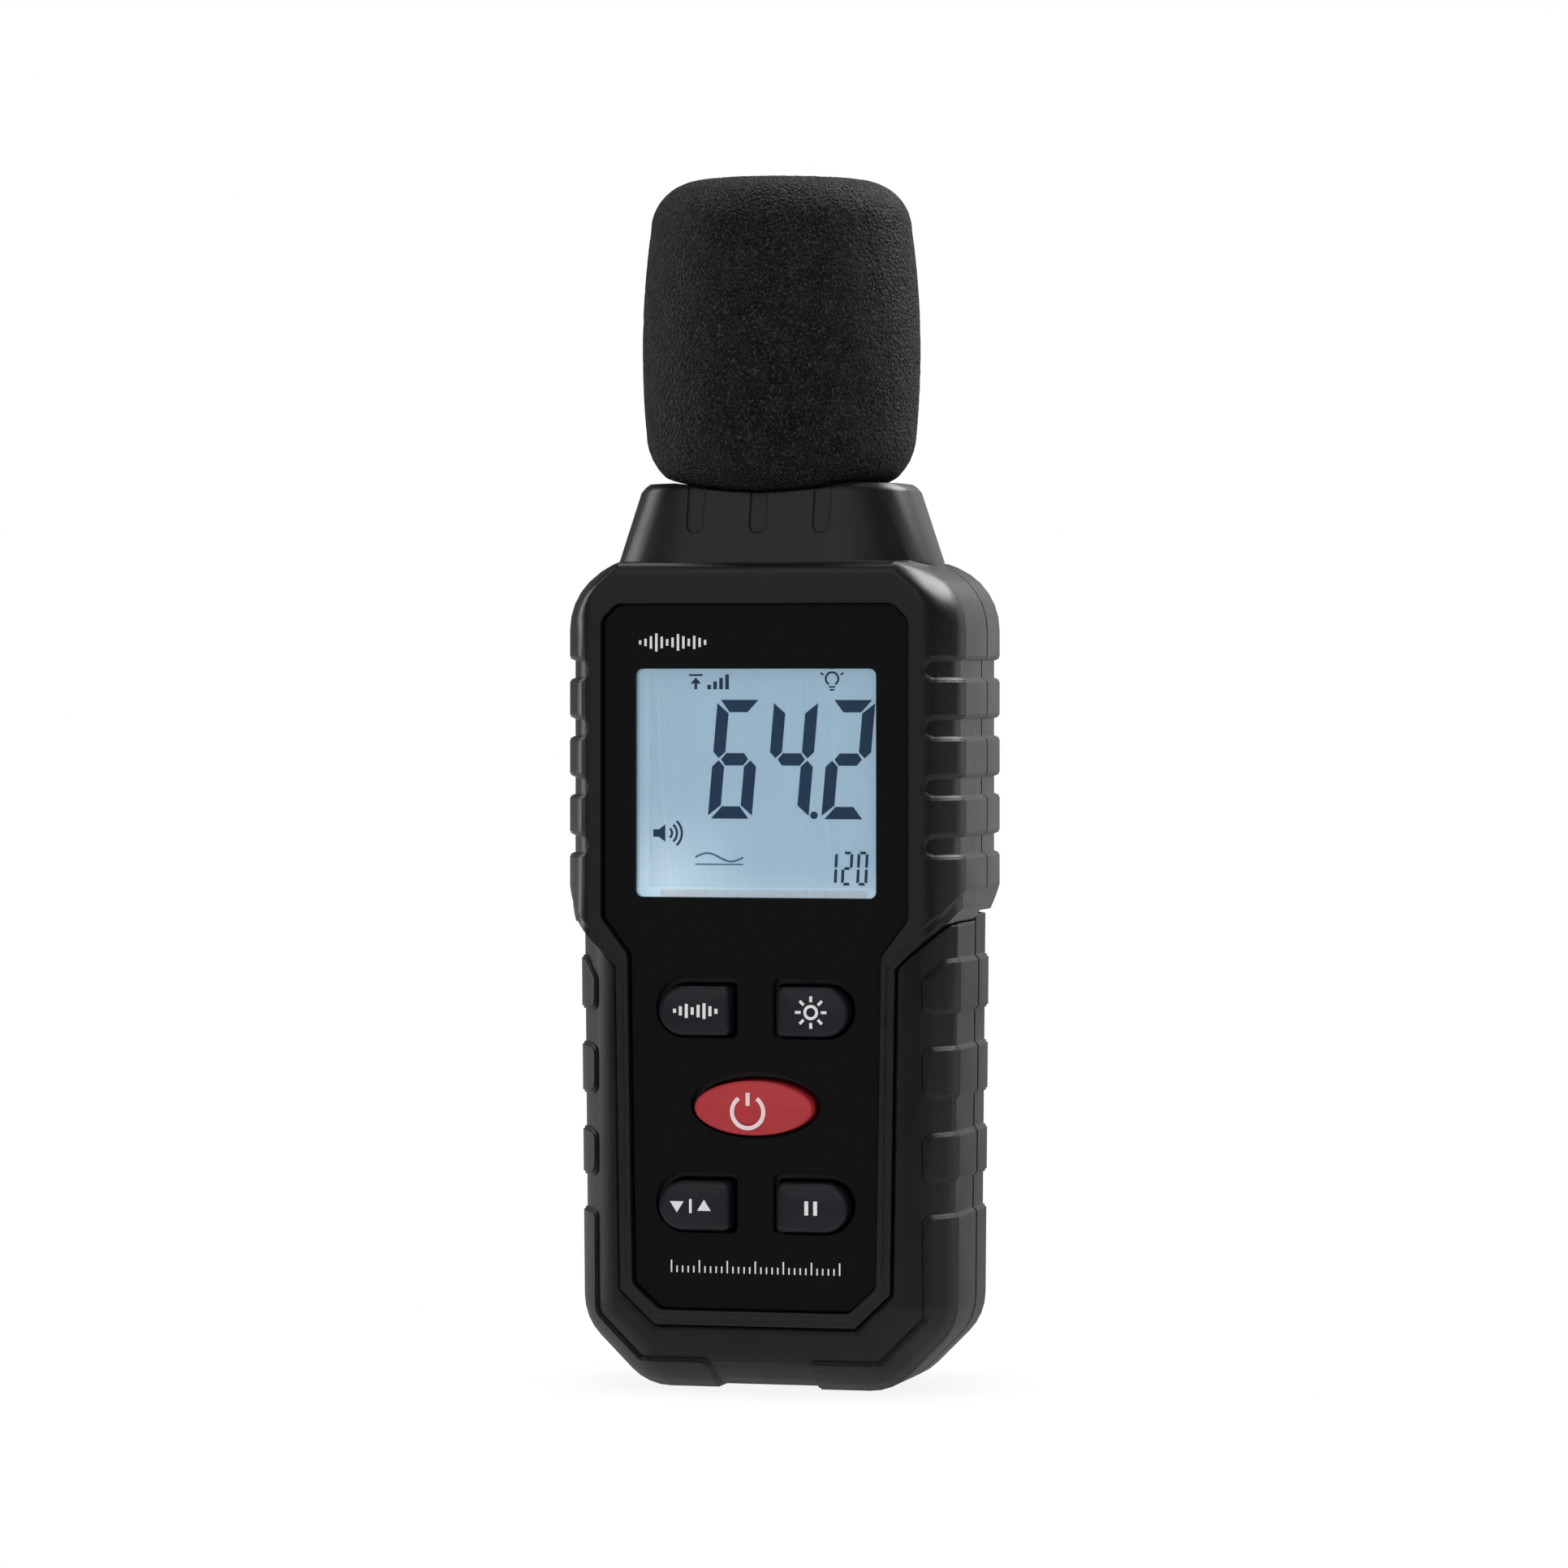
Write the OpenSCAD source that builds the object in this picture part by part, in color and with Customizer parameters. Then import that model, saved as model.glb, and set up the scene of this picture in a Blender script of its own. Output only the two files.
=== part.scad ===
// Hand-held sound level meter: two case halves with soft grips, a front panel with a display and
// five keys, a battery bay for three AAA cells and a microphone under a foam windscreen.
// The meter stands on its bottom pads. X is its width, Y its depth (front is -Y), Z its length.

/* [Case] */
// Height of the case without the neck
case_h = 100.8; // [100:0.2:104]
// Width of the upper housing
head_w = 49.8; // [49:0.2:54]
// Depth of the upper housing
case_d = 32; // [31:0.5:36]
// Rounding of the upper housing's top corners
head_corner_r = 8.2; // [7:0.2:9]
// Width of the rounded front and back edges of the upper housing
edge_r = 4.6; // [4:0.2:6.4]
// Depth of the rounded front and back edges of the upper housing
edge_depth = 6.5; // [5:0.5:10]
// Rounding of the front and back edges of the upper housing's top
top_edge_r = 1.6; // [0.8:0.2:2.4]
// Distance of the parting plane behind the middle of the case
parting_shift = 2; // [1:0.2:2.4]
// Wall of the upper housing
head_wall = 2.1; // [1.6:0.1:2.4]
// Front wall behind the panel
front_wall = 1.8; // [1.4:0.1:2.2]
// Height of the lower edge of the upper housing
waist_z = 58; // [57.6:0.2:59]
// Height of the slanted lower edge of the upper housing
waist_rise = 3.2; // [2:0.2:4]
// Depth of the side grooves and the neck grooves
groove_depth = 0.7; // [0.4:0.1:1]
// Height of one side groove
groove_h = 2.2; // [2:0.1:3]
// Width of the rounded lips of the side grooves
groove_lip = 0.4; // [0.2:0.05:0.6]
// Width of the fine line where the two case halves meet
line_w = 0.4; // [0.2:0.05:0.5]
// Pitch of the side grooves
groove_pitch = 7.12; // [6.6:0.02:7.2]
// Height of the lowest side groove's centre
groove_z = 66.4; // [66:0.2:67.2]

/* [Grip] */
// Width of the grip at its top, without pads
grip_w = 47; // [46.6:0.2:47.4]
// How much narrower the grip is at its foot
grip_taper = 0.9; // [0:0.1:1]
// How far the grip's face lies behind the front of the housing
grip_drop = 0.8; // [0.6:0.1:1.2]
// Thickness of the soft grip layer
grip_t = 1.5; // [1.2:0.1:1.8]
// Rounding of the grip's front and back edges
grip_edge_r = 6.5; // [6:0.5:8]
// Depth of the grip's rounded front and back edges
grip_edge_depth = 7.5; // [6:0.5:10]
// Leg of the slanted bottom corners
grip_chamfer = 7.8; // [7:0.2:8.4]
// Rounding of the slanted bottom corners
grip_corner_r = 6.5; // [3:0.5:7]
// How far the pads stand proud of the grip
pad_h = 0.45; // [0.2:0.05:0.8]
// Wall of the case under the grip
core_wall = 1.6; // [1.2:0.1:1.9]
// Gap between the grip and the ledge round the panel
grip_gap = 0.25; // [0.2:0.05:0.6]
// Width of the case's rim beside the panel
rim_w = 0.8; // [0.6:0.05:1]
// Width of the case's rim below the panel
rim_low = 1; // [0.8:0.05:1.2]
// Width of the lower ledge round the rim
ledge_w = 1; // [0.8:0.05:1.2]
// Gap between the grip's top and the waist
waist_gap = 0.3; // [0.3:0.1:1]
// Gap between the two grips along the parting plane
parting_gap = 0.6; // [0.4:0.05:0.8]

/* [Neck] */
// How far the microphone and its neck lie in front of the middle of the case
mic_forward = 2; // [1.6:0.1:2.2]
// Height of the neck
neck_h = 9.6; // [9:0.2:10.4]
// Width of the neck at its base
neck_w = 40; // [39:0.2:40.4]
// Depth of the neck at its base
neck_d = 26.2; // [25.8:0.2:26.6]
// How much the neck narrows on each side up to its top
neck_taper = 3.1; // [2:0.1:3.3]
// Corner radius of the neck at its base
neck_r = 12; // [10:0.5:12.5]
// Wall of the neck
neck_wall = 2; // [1.6:0.1:2.4]
// Radius of the shallow dish that the windscreen sits in
dish_r = 50; // [40:1:80]
// Depth of that dish
dish_depth = 1.2; // [0.8:0.1:1.6]

/* [Windscreen] */
// Largest radius of the windscreen
foam_r = 17.1; // [16.6:0.1:18]
// Height of the windscreen
foam_h = 38.5; // [36:0.5:42]
// How far the windscreen reaches down over the microphone tube
foam_grip = 23; // [20:0.5:24]

/* [Microphone] */
// Radius of the microphone tube
tube_r = 6.4; // [6:0.1:6.8]
// Wall of the microphone tube
tube_wall = 0.8; // [0.6:0.1:1]
// How far the tube stands above the neck
tube_out = 22; // [18:0.5:22]
// Radius of the microphone capsule
capsule_r = 4.8; // [4.5:0.1:4.9]
// Height of the microphone capsule
capsule_h = 6.7; // [5:0.1:8]

/* [Panel] */
// Width of the panel beside the display
panel_w = 37.9; // [37:0.1:38.2]
// Width of the panel at the upper keys
panel_mid_w = 31.2; // [30:0.1:31.4]
// Width of the panel above its bottom corners
panel_low_w = 30; // [29:0.1:30.2]
// Thickness of the panel
panel_t = 1.5; // [1.2:0.1:1.8]
// How far the panel lies behind the front of the housing
panel_recess = 1; // [0.6:0.1:1.2]
// Distance of the panel's top edge from the case's top
panel_top_gap = 5.3; // [5:0.1:6]
// Height of the panel's bottom edge
panel_bottom = 10.3; // [9.8:0.1:11]
// Clearance round the panel
panel_fit = 0.25; // [0.1:0.05:0.4]

/* [Display] */
// Width of the display window
window_w = 30; // [28:0.1:30.4]
// Distance from the case's top down to the display window
window_drop = 13; // [12.6:0.1:14]
// Height of the window's lower edge
window_z = 60.1; // [59.8:0.1:60.6]
// How far the lens lies behind the panel's face
lens_drop = 0.4; // [0.2:0.05:0.6]
// Thickness of the display glass
glass_t = 1.8; // [1.4:0.1:2.2]
// Thickness of the light guide
guide_t = 3.4; // [2.8:0.1:3.6]

/* [Keys] */
// Width of the four small keys
key_w = 8.9; // [8.4:0.1:9.2]
// Height of the four small keys
key_h = 6; // [5.4:0.1:6.2]
// Distance of the small keys' centres from the middle
key_x = 7.35; // [7:0.05:7.6]
// Height of the upper row of keys
upper_key_z = 46.4; // [45.8:0.1:47]
// Height of the lower row of keys
lower_key_z = 22.8; // [22.2:0.1:23.2]
// Width of the power key
power_w = 14.9; // [14:0.1:15.4]
// Height of the power key
power_h = 6.7; // [6:0.1:7]
// Height of the power key's centre
power_z = 34.7; // [34.4:0.1:35]
// How far the keys stand out of the housing's front plane
key_proud = 0.8; // [0:0.1:1]
// Travel of the keys
key_travel = 1; // [0.6:0.1:1]
// Clearance round each key in the case
key_fit = 0.3; // [0.2:0.05:0.4]
// Extra room round each key in the panel
key_moat = 0.65; // [0.4:0.05:0.7]
// How much higher the panel's openings lie than the keys
moat_rise = 0.3; // [0:0.05:0.4]

/* [Battery bay] */
// Diameter of an AAA cell
cell_d = 10.5; // [10:0.1:10.5]
// Length of an AAA cell with its button
cell_len = 44.5; // [43:0.1:44.5]
// Distance between the cells' axes
cell_pitch = 10.8; // [10.6:0.05:11]
// Compressed length of the springs
spring_len = 3.2; // [2.6:0.1:3.2]
// Lower inner end of the battery bay
bay_z = 6.9; // [6.6:0.1:7]
// Wall of the battery bay
bay_wall = 1.1; // [0.9:0.1:1.2]
// Thickness of the battery cover
cover_t = 1.8; // [1.5:0.1:2]
// Gap round the battery cover
cover_gap = 0.3; // [0.2:0.05:0.4]

/* [Electronics] */
// Thickness of the circuit board
board_t = 1.6; // [1.2:0.1:1.8]

/* [Fasteners] */
// Distance of the upper case screws from the middle
screw_x = 19.8; // [19.6:0.1:20.2]
// Radius of the upper case screws' shanks
screw_r = 1; // [0.8:0.05:1.1]
// Radius of the lower case screws' shanks
low_screw_r = 0.85; // [0.7:0.05:0.9]
// Radial clearance of a screw in its post
screw_fit = 0.05; // [0.02:0.01:0.1]
// Radius of the tripod thread in the nut
tripod_r = 2.55; // [2.4:0.05:3.2]
// Length of the tripod nut
tripod_len = 8; // [6:0.5:9]
// Height of the tripod nut
tripod_z = 75; // [72:1:80]

/* [Hidden] */
$fn = 48;
far = 80;               // half-size of the blocks that cut space away
arc_steps = 4;          // segments in each rounded corner of an outline
edge_steps = 6;         // slices in each rounded edge of the case
corner_steps = 4;       // segments in each rounded corner of the case

// Levels along Y, from the front to the back. The origin is the middle of the whole depth, from the
// front of the windscreen to the back of the case.
case_y = (foam_r + mic_forward - case_d / 2) / 2;
mic_y = case_y - mic_forward;
front_y = case_y - case_d / 2;
back_y = case_y + case_d / 2;
panel_y = front_y + panel_recess;
seat_y = panel_y + panel_t;
wall_y = seat_y + front_wall;
flange_t = 0.8;
hollow_step = 2.4;
glass_y = seat_y + flange_t;
guide_y = glass_y + glass_t;
tray_y = guide_y + guide_t;
board_y = tray_y + 2.3;
board_back_y = board_y + board_t;
parting_y = case_y + parting_shift;
grip_half_d = case_d / 2 - grip_drop;
core_half_d = grip_half_d - grip_t;
head_back_y = back_y - head_wall;
grip_back_y = case_y + grip_half_d;
cover_y = grip_back_y - cover_t;
floor_t = 1.2;
bay_front_y = case_y + 1;
floor_y = bay_front_y + floor_t;
cell_y = floor_y + cell_d / 2 + 0.15;

// Levels along Z
window_h = case_h - window_drop - window_z;
neck_top = case_h + neck_h;
dish_z = neck_top - dish_depth;
foam_z = dish_z + 0.1;
contact_t = 0.4;
bay_len = cell_len + spring_len + 2 * contact_t;
bay_top = bay_z + bay_len;
bay_half_w = cell_pitch + cell_d / 2 + 0.45;
cell_low = bay_z + contact_t;
cell_high = cell_low + spring_len;

// Fasteners
post_r = 2.4;
low_post_r = 2;
upper_screw_z = case_h - 10;
waist_screw_z = waist_z + 5.8;
low_screw_z = (power_z - power_h / 2 + lower_key_z + key_h / 2) / 2 + 0.45;
low_screw_x = cell_pitch / 2;
board_screw_r = 0.95;

// Outlines are lists of [x, z] that run anticlockwise. half() mirrors a right-hand side.
function half(right) = concat(right, [for (i = [len(right) - 1:-1:0]) [-right[i][0], right[i][1]]]);
function unit(v) = v / norm(v);
function at(list, i) = list[(i + len(list)) % len(list)];
function normal(a, b) = let (d = unit(b - a)) [d[1], -d[0]];

// Every edge of an outline moved outwards by d
function grown(points, d) = [for (i = [0:len(points) - 1])
    let (before = normal(at(points, i - 1), points[i]),
        after = normal(points[i], at(points, i + 1)))
    points[i] + (before + after) * d / (1 + before * after)];

// Every corner of an outline rounded by radius r
function rounded(points, r, steps = arc_steps) = [for (i = [0:len(points) - 1])
    let (u = unit(at(points, i - 1) - points[i]),
        v = unit(at(points, i + 1) - points[i]),
        half_angle = acos(max(-1, min(1, u * v))) / 2,
        centre = points[i] + unit(u + v) * r / sin(half_angle),
        start = points[i] + u * r / tan(half_angle) - centre,
        turn = (u[0] * v[1] - u[1] * v[0] < 0 ? 1 : -1) * (180 - 2 * half_angle))
    for (k = [0:steps])
        let (a = turn * k / steps)
        centre + [start[0] * cos(a) - start[1] * sin(a), start[0] * sin(a) + start[1] * cos(a)]];

// The side outline of the upper housing and that of its flat front face. The second runs on above
// the case's top, where the case is cut off flat.
head_chamfer = head_corner_r * (2 - sqrt(2));
crease_rise = 0.8;
function head_outline(x, corner_rise, top_rise) = half([[x, -far / 4],
    [x, case_h - head_chamfer + corner_rise], [x - head_chamfer, case_h],
    [x - head_chamfer - 10, case_h + top_rise]]);
head_side = head_outline(head_w / 2, 0, 0.1);
head_front = head_outline(head_w / 2 - edge_r, crease_rise, 4);
grip_side = half([[grip_w / 2 - grip_taper / 2 - grip_chamfer, pad_h],
    [grip_w / 2 - grip_taper / 2, pad_h + grip_chamfer], [grip_w / 2, waist_z],
    [grip_w / 2, waist_z + 2 * grip_edge_r]]);

cavity_face = grown(grip_side, -grip_t - core_wall);

waist_x = head_w / 2 - 2.2;
front_face = half([[panel_low_w / 2 - 3.3 + 0.4 * rim_w, panel_bottom - rim_low],
    [panel_low_w / 2 + rim_w, panel_bottom + 3 - 0.4 * rim_low], [panel_mid_w / 2 + rim_w, 52.1],
    [waist_x - 0.4, waist_z], [waist_x, waist_z],
    [head_w / 2, waist_z + waist_rise], [far, waist_z + waist_rise], [far, 2 * far]]);
rear_face = half([[waist_x, waist_z], [head_w / 2, waist_z + waist_rise],
    [far, waist_z + waist_rise], [far, 2 * far]]);
panel_cut = 1.8;
panel_face = half([[panel_low_w / 2 - 3.3, panel_bottom], [panel_low_w / 2, panel_bottom + 3],
    [panel_mid_w / 2, 53.2], [panel_w / 2, 57.6], [panel_w / 2, case_h - panel_top_gap - panel_cut],
    [panel_w / 2 - panel_cut, case_h - panel_top_gap]]);
glass_margin = 0.95;
window_face = half([[window_w / 2, window_z], [window_w / 2, window_z + window_h]]);
lens_face = grown(window_face, glass_margin + 0.4);
glass_face = grown(window_face, glass_margin);
power_face = [for (i = [0:47]) [power_w / 2 * cos(i * 7.5), power_z + power_h / 2 * sin(i * 7.5)]];

// A flat shape in the X-Z plane, thickened from y0 to y1
module plate(y0, y1) {
    translate([0, y1, 0]) rotate([90, 0, 0]) linear_extrude(y1 - y0) children();
}

// A round bar along Y
module bar(x, z, y0, y1, r) {
    translate([x, y1, z]) rotate([90, 0, 0]) cylinder(h = y1 - y0, r = r);
}

// A box given by its low and high corners
module block(low, high) {
    translate(low) cube(high - low);
}

// A block with the given side outline, rounded along its front and back edges down to the outline
// of its front face. The rounding is a parabola, edge wide and depth deep, that starts level with
// the front and meets the side at a soft crease.
module soft_block(side, front, half_d, edge, depth, corner_r) {
    translate([0, case_y, 0]) hull() for (i = [0:edge_steps]) {
        t = 1 - i / edge_steps;
        y = half_d - depth * pow(1 - t, 2);
        plate(-y, y) polygon(rounded(side * (1 - t) + front * t, max(0.6, corner_r - edge * t),
            corner_steps));
    }
}

module mirror_x() {
    children();
    mirror([1, 0, 0]) children();
}

module on_mic_axis() {
    translate([0, mic_y, 0]) children();
}

// The upper housing, moved inwards by inset, with the front and back edges of its top rounded
module head_column(inset = 0) {
    intersection() {
        soft_block(grown(head_side, -inset), head_front, case_d / 2 - inset, edge_r - inset,
            edge_depth - inset, head_corner_r - inset);
        translate([-far, 0, 0]) rotate([90, 0, 90]) linear_extrude(2 * far)
            polygon(rounded([[front_y, -far], [back_y, -far], [back_y, case_h], [front_y, case_h]],
                top_edge_r));
    }
}

// The outside of the grip, or of the case under it, moved outwards by the given distance
module grip_block(proud = 0) {
    soft_block(grown(grip_side, proud), grown(grip_side, -grip_edge_r), grip_half_d + proud,
        grip_edge_r + proud, grip_edge_depth + proud, grip_corner_r + proud);
}
module core_block() grip_block(-grip_t);

// The neck, narrowing upwards to a rounded top edge
module neck_slab(z, h, inset) {
    r = neck_r - inset;
    w = neck_w / 2 - inset - r;
    d = neck_d / 2 - inset * 0.65 - r;
    translate([0, mic_y, z]) linear_extrude(h)
        polygon(rounded(grown([[w, -d], [w, d], [-w, d], [-w, -d]], r), r - 0.01, 8));
}
module neck_body(inset = 0) {
    hull() {
        neck_slab(case_h - 3, 3, inset);
        neck_slab(neck_top - 1.4, 0.4, neck_taper * 0.95 + 0.1 + inset);
        neck_slab(neck_top - 0.5, 0.1, neck_taper + 0.5 + inset);
        neck_slab(neck_top - 0.1, 0.1, neck_taper + 1.1 + inset);
    }
}

// Side grooves of the upper housing, widened by lip: round at the front, open towards the side
module side_grooves(lip = 0) {
    r = groove_h / 2 + lip;
    for (i = [0:3]) mirror_x() {
        z = groove_z + i * groove_pitch;
        bar(groove_x, z, -far, far, r);
        block([groove_x, -far, z - r], [far, far, z + r]);
    }
}
groove_x = head_w / 2 - 2.7;

// What the line between the case halves takes out of the rear one
module parting_line() {
    depth = line_w * 1.4;
    plate(parting_y, parting_y + line_w) difference() {
        polygon(half([[far, waist_z], [far, case_h]]));
        polygon(half([[neck_w / 2, waist_z], [neck_w / 2, case_h]]));
        polygon(rounded(grown(head_side, -groove_depth - depth), head_corner_r - groove_depth - depth,
            corner_steps));
        difference() {
            polygon(rounded(grown(head_side, -depth), head_corner_r - depth, corner_steps));
            for (i = [0:3]) mirror_x() translate([groove_x, groove_z + i * groove_pitch - groove_h / 2])
                square([far, groove_h]);
        }
    }
}

// Grooves in the front of the neck, round at the bottom
module neck_grooves() {
    slot_r = 1.05;
    for (i = [-1:1]) {
        x = 7.9 * i;
        bar(x, case_h + 4.5, -far, mic_y, slot_r);
        block([x - slot_r, -far, case_h + 4.5], [x + slot_r, mic_y, neck_top + 1]);
    }
}

// The outside of both case halves, before it is parted. Each level has its depth, how much wider
// the grooves are there as a share of their lip, and how much of the ledge's width it adds.
case_levels = [[0, 1, 0], [0.12, 0.35, 0.1], [0.4, 0, 1]];
module case_outside(face, ledge) {
    for (level = case_levels) intersection() {
        difference() {
            head_column(level[0]);
            side_grooves(groove_lip * level[1]);
        }
        plate(-far, far) polygon(grown(face, ledge * level[2]));
    }
    intersection() {
        head_column(groove_depth);
        plate(-far, far) polygon(face);
    }
    core_block();
}

// A hollow that is narrower near its front and back, to follow the rounded edges outside
module hollow(side, back_y) {
    plate(wall_y + hollow_step, back_y - hollow_step) polygon(side);
    plate(wall_y, back_y) polygon(grown(side, -hollow_step));
}

// The space inside both case halves
module case_inside() {
    hollow(half([[head_w / 2 - head_wall, waist_z + 2.2],
        [head_w / 2 - head_wall, case_h - head_chamfer - head_wall],
        [head_w / 2 - head_chamfer - head_wall, case_h - head_wall]]), head_back_y);
    hollow(cavity_face, case_y + core_half_d - core_wall);
    difference() {
        translate([0, mic_y, case_h - head_wall - 0.1])
            linear_extrude(neck_top - neck_wall - 1.2 - dish_depth - case_h + head_wall)
            square([neck_w - 2 * (neck_taper + neck_wall + 1), neck_d - 2 * (neck_taper + neck_wall + 1)],
                center = true);
        on_mic_axis() cylinder(h = 2 * far, r = sleeve_r);
    }
}

sleeve_r = tube_r + 3.8;
tube_flange_r = tube_r + 2.2;
tube_flange_z = case_h + 2;
tube_flange_t = 1.6;
tube_fit = 0.05;
tube_top = dish_z + tube_out;

// What the tube and its flange take out of the neck
module tube_seat() on_mic_axis() {
    cylinder(h = 2 * far, r = tube_r + tube_fit);
    translate([0, 0, tube_flange_z]) cylinder(h = tube_flange_t, r = tube_flange_r + tube_fit);
    translate([0, 0, case_h - 2 * head_wall]) cylinder(h = head_wall * 2 - 0.1, r = sleeve_r - 1);
}

module neck_dish() {
    translate([0, 0, dish_z + dish_r]) rotate([90, 0, 0]) cylinder(h = 2 * far, r = dish_r, center = true,
        $fn = 96);
}

// Outlines of one small key and of all five keys
module small_key(index, grow = 0) {
    side = index % 2 == 0 ? -1 : 1;
    z = index < 2 ? upper_key_z : lower_key_z;
    translate([side * key_x, z]) key_blank(side, grow);
}
module key_blank(side, grow) {
    r = key_h / 2 + grow;
    w = key_w / 2 + grow;
    translate([side * (w - r), 0]) circle(r);
    mirror([side < 0 ? 1 : 0, 0]) polygon(rounded([[-w, -r], [w - r, -r], [w - r, r], [-w, r]], 0.6));
}
module power_blank(grow = 0) polygon(grown(power_face, grow));
module all_keys(grow) {
    for (i = [0:3]) small_key(i, grow);
    power_blank(grow);
}

module front_case() color("#2b2d30") {
    difference() {
        union() {
            difference() {
                intersection() {
                    union() {
                        case_outside(front_face, ledge_w);
                        difference() {
                            neck_body();
                            neck_grooves();
                        }
                        neck_body(groove_depth);
                    }
                    block([-far, -far, -far], [far, parting_y, 2 * far]);
                }
                case_inside();
                plate(-far, seat_y) polygon(rounded(grown(panel_face, panel_fit), 1.6));
            }
            front_posts();
        }
        tube_seat();
        neck_dish();
        plate(-far, wall_y + 1) polygon(grown(lens_face, 0.15));
        plate(-far, wall_y + 1) all_keys(key_fit);
        front_post_holes();
    }
}

module front_posts() {
    for (z = [upper_screw_z, waist_screw_z]) mirror_x() bar(screw_x, z, wall_y - 0.5, parting_y, post_r);
    mirror_x() bar(low_screw_x, low_screw_z, wall_y - 0.5, bay_front_y, low_post_r);
    board_places() bar(0, 0, wall_y - 0.5, board_y, low_post_r);
}
module front_post_holes() {
    for (z = [upper_screw_z, waist_screw_z])
        mirror_x() bar(screw_x, z, wall_y + 1.5, far, screw_r + screw_fit);
    mirror_x() bar(low_screw_x, low_screw_z, wall_y + 1.5, far, low_screw_r + screw_fit);
    board_places() bar(0, 0, wall_y + 1.5, board_y + 1, board_screw_r + screw_fit);
}

// The four places where the board is screwed to the front case
module board_places() {
    for (z = [board_low + 4, board_high - 2.8])
        mirror_x() translate([board_half_w - 2.6, 0, z]) children();
}

module bay_outside() {
    block([-bay_half_w - bay_wall - 0.4, bay_front_y, bay_z - bay_wall],
        [bay_half_w + bay_wall + 0.4, far, bay_top + bay_wall]);
}
module bay_inside() {
    block([-bay_half_w, floor_y, bay_z], [bay_half_w, far, bay_top]);
}

module rear_case() color("#2b2d30") {
    difference() {
        union() {
            difference() {
                intersection() {
                    union() {
                        case_outside(rear_face, 0);
                        neck_body();
                    }
                    block([-far, parting_y, -far], [far, far, 2 * far]);
                }
                case_inside();
            }
            intersection() {
                bay_outside();
                grip_block();
                union() {
                    block([-far, parting_y, -far], [far, far, 2 * far]);
                    plate(bay_front_y, parting_y) polygon(grown(cavity_face, -0.2));
                }
            }
            for (z = [upper_screw_z, waist_screw_z])
                mirror_x() bar(screw_x, z, parting_y, head_back_y + 0.5, boss_r);
            bar(0, tripod_z, head_back_y - tripod_len + 2, head_back_y + 0.5, tripod_boss_r);
        }
        tube_seat();
        neck_dish();
        bay_inside();
        for (z = [upper_screw_z, waist_screw_z]) mirror_x() {
            bar(screw_x, z, -far, far, screw_r + 0.25);
            bar(screw_x, z, head_screw_y, far, screw_head_r + 0.2);
        }
        mirror_x() bar(low_screw_x, low_screw_z, -far, floor_y + 1, low_screw_r + 0.25);
        bar(0, tripod_z, back_y - tripod_len, far, tripod_nut_r);
        parting_line();
        cover_pins(pin_fit);
        terminal_slot(-1, bay_top);
        terminal_slot(1, bay_z - bay_wall);
    }
}

boss_r = 3.4;
screw_head_r = 2;
screw_head_h = 1.4;
head_screw_y = case_y + 6;
tripod_nut_r = 4.4;
tripod_boss_r = tripod_nut_r + 1.6;

module terminal_slot(side, z) {
    x = side * cell_pitch;
    block([x - 1.2, tab_y - 0.1, z - 0.1], [x + 1.2, tab_y + contact_t + 0.1, z + bay_wall + 0.1]);
}
tab_y = floor_y + 1.2;

// The pads: three at each side, and one round each bottom corner
pad_in = grip_w / 2 - 3;
side_pads = [[25.9, 31.6], [35.9, 42]];
top_pad = [46.2, 53.1];
corner_pad_top = 21.7;
corner_pad_bend = 9.3;
corner_pad_low = 3.9;
corner_pad_in = 6.2;
module pad_faces(grow) mirror_x() {
    for (ends = side_pads)
        polygon(rounded(grown([[pad_in, ends[0]], [far, ends[0]], [far, ends[1]], [pad_in, ends[1]]],
            grow), 1.2));
    polygon(rounded(grown([[pad_in, top_pad[0]], [far, top_pad[0]], [far, top_pad[1]],
        [pad_in + 2.2, top_pad[1] - 0.5], [pad_in, top_pad[1] - 2.9]], grow), 0.9));
    polygon(rounded(grown([[corner_pad_in, -far], [far, -far], [far, corner_pad_top],
        [pad_in, corner_pad_top], [pad_in, corner_pad_bend],
        [pad_in - corner_pad_bend + corner_pad_low, corner_pad_low], [corner_pad_in, corner_pad_low]],
        grow), 0.9));
}

// The grip with its pads, whose edges are rounded in steps of height and width
module grip_shape() {
    grip_block();
    for (step = [[1, -0.25], [0.55, 0.05]]) intersection() {
        grip_block(pad_h * step[0]);
        plate(-far, far) pad_faces(step[1]);
    }
}

// Depth and width of each step of the rounded edge beside the case's rim
grip_lip = [[0.1, 0.5], [0.3, 0.2]];

module front_grip() color("#35373a") {
    difference() {
        grip_shape();
        core_block();
        block([-far, parting_y - parting_gap / 2, -far], [far, far, 2 * far]);
        block([-far, -far, waist_z - waist_gap], [far, far, 2 * far]);
        plate(-far, parting_y) polygon(grown(front_face, ledge_w + grip_gap));
        for (step = grip_lip) plate(-far, case_y - grip_half_d + step[0])
            polygon(grown(front_face, ledge_w + grip_gap + step[1]));
    }
}

module rear_grip() color("#35373a") {
    difference() {
        grip_shape();
        core_block();
        block([-far, -far, -far], [far, parting_y + parting_gap / 2, 2 * far]);
        block([-far, -far, waist_z - waist_gap], [far, far, 2 * far]);
        bay_outside();
    }
}

module front_panel() color("#0d0e0f") {
    difference() {
        plate(panel_y, seat_y) polygon(rounded(panel_face, 1.4));
        plate(-far, far) polygon(rounded(window_face, 0.8));
        translate([0, 0, moat_rise]) plate(-far, far) all_keys(key_moat);
    }
}

module lcd_window() color("#c8d8e0") {
    plate(panel_y + lens_drop, seat_y + 0.1) polygon(rounded(grown(window_face, -0.05), 0.75));
    plate(seat_y, glass_y) polygon(lens_face);
}

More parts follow.
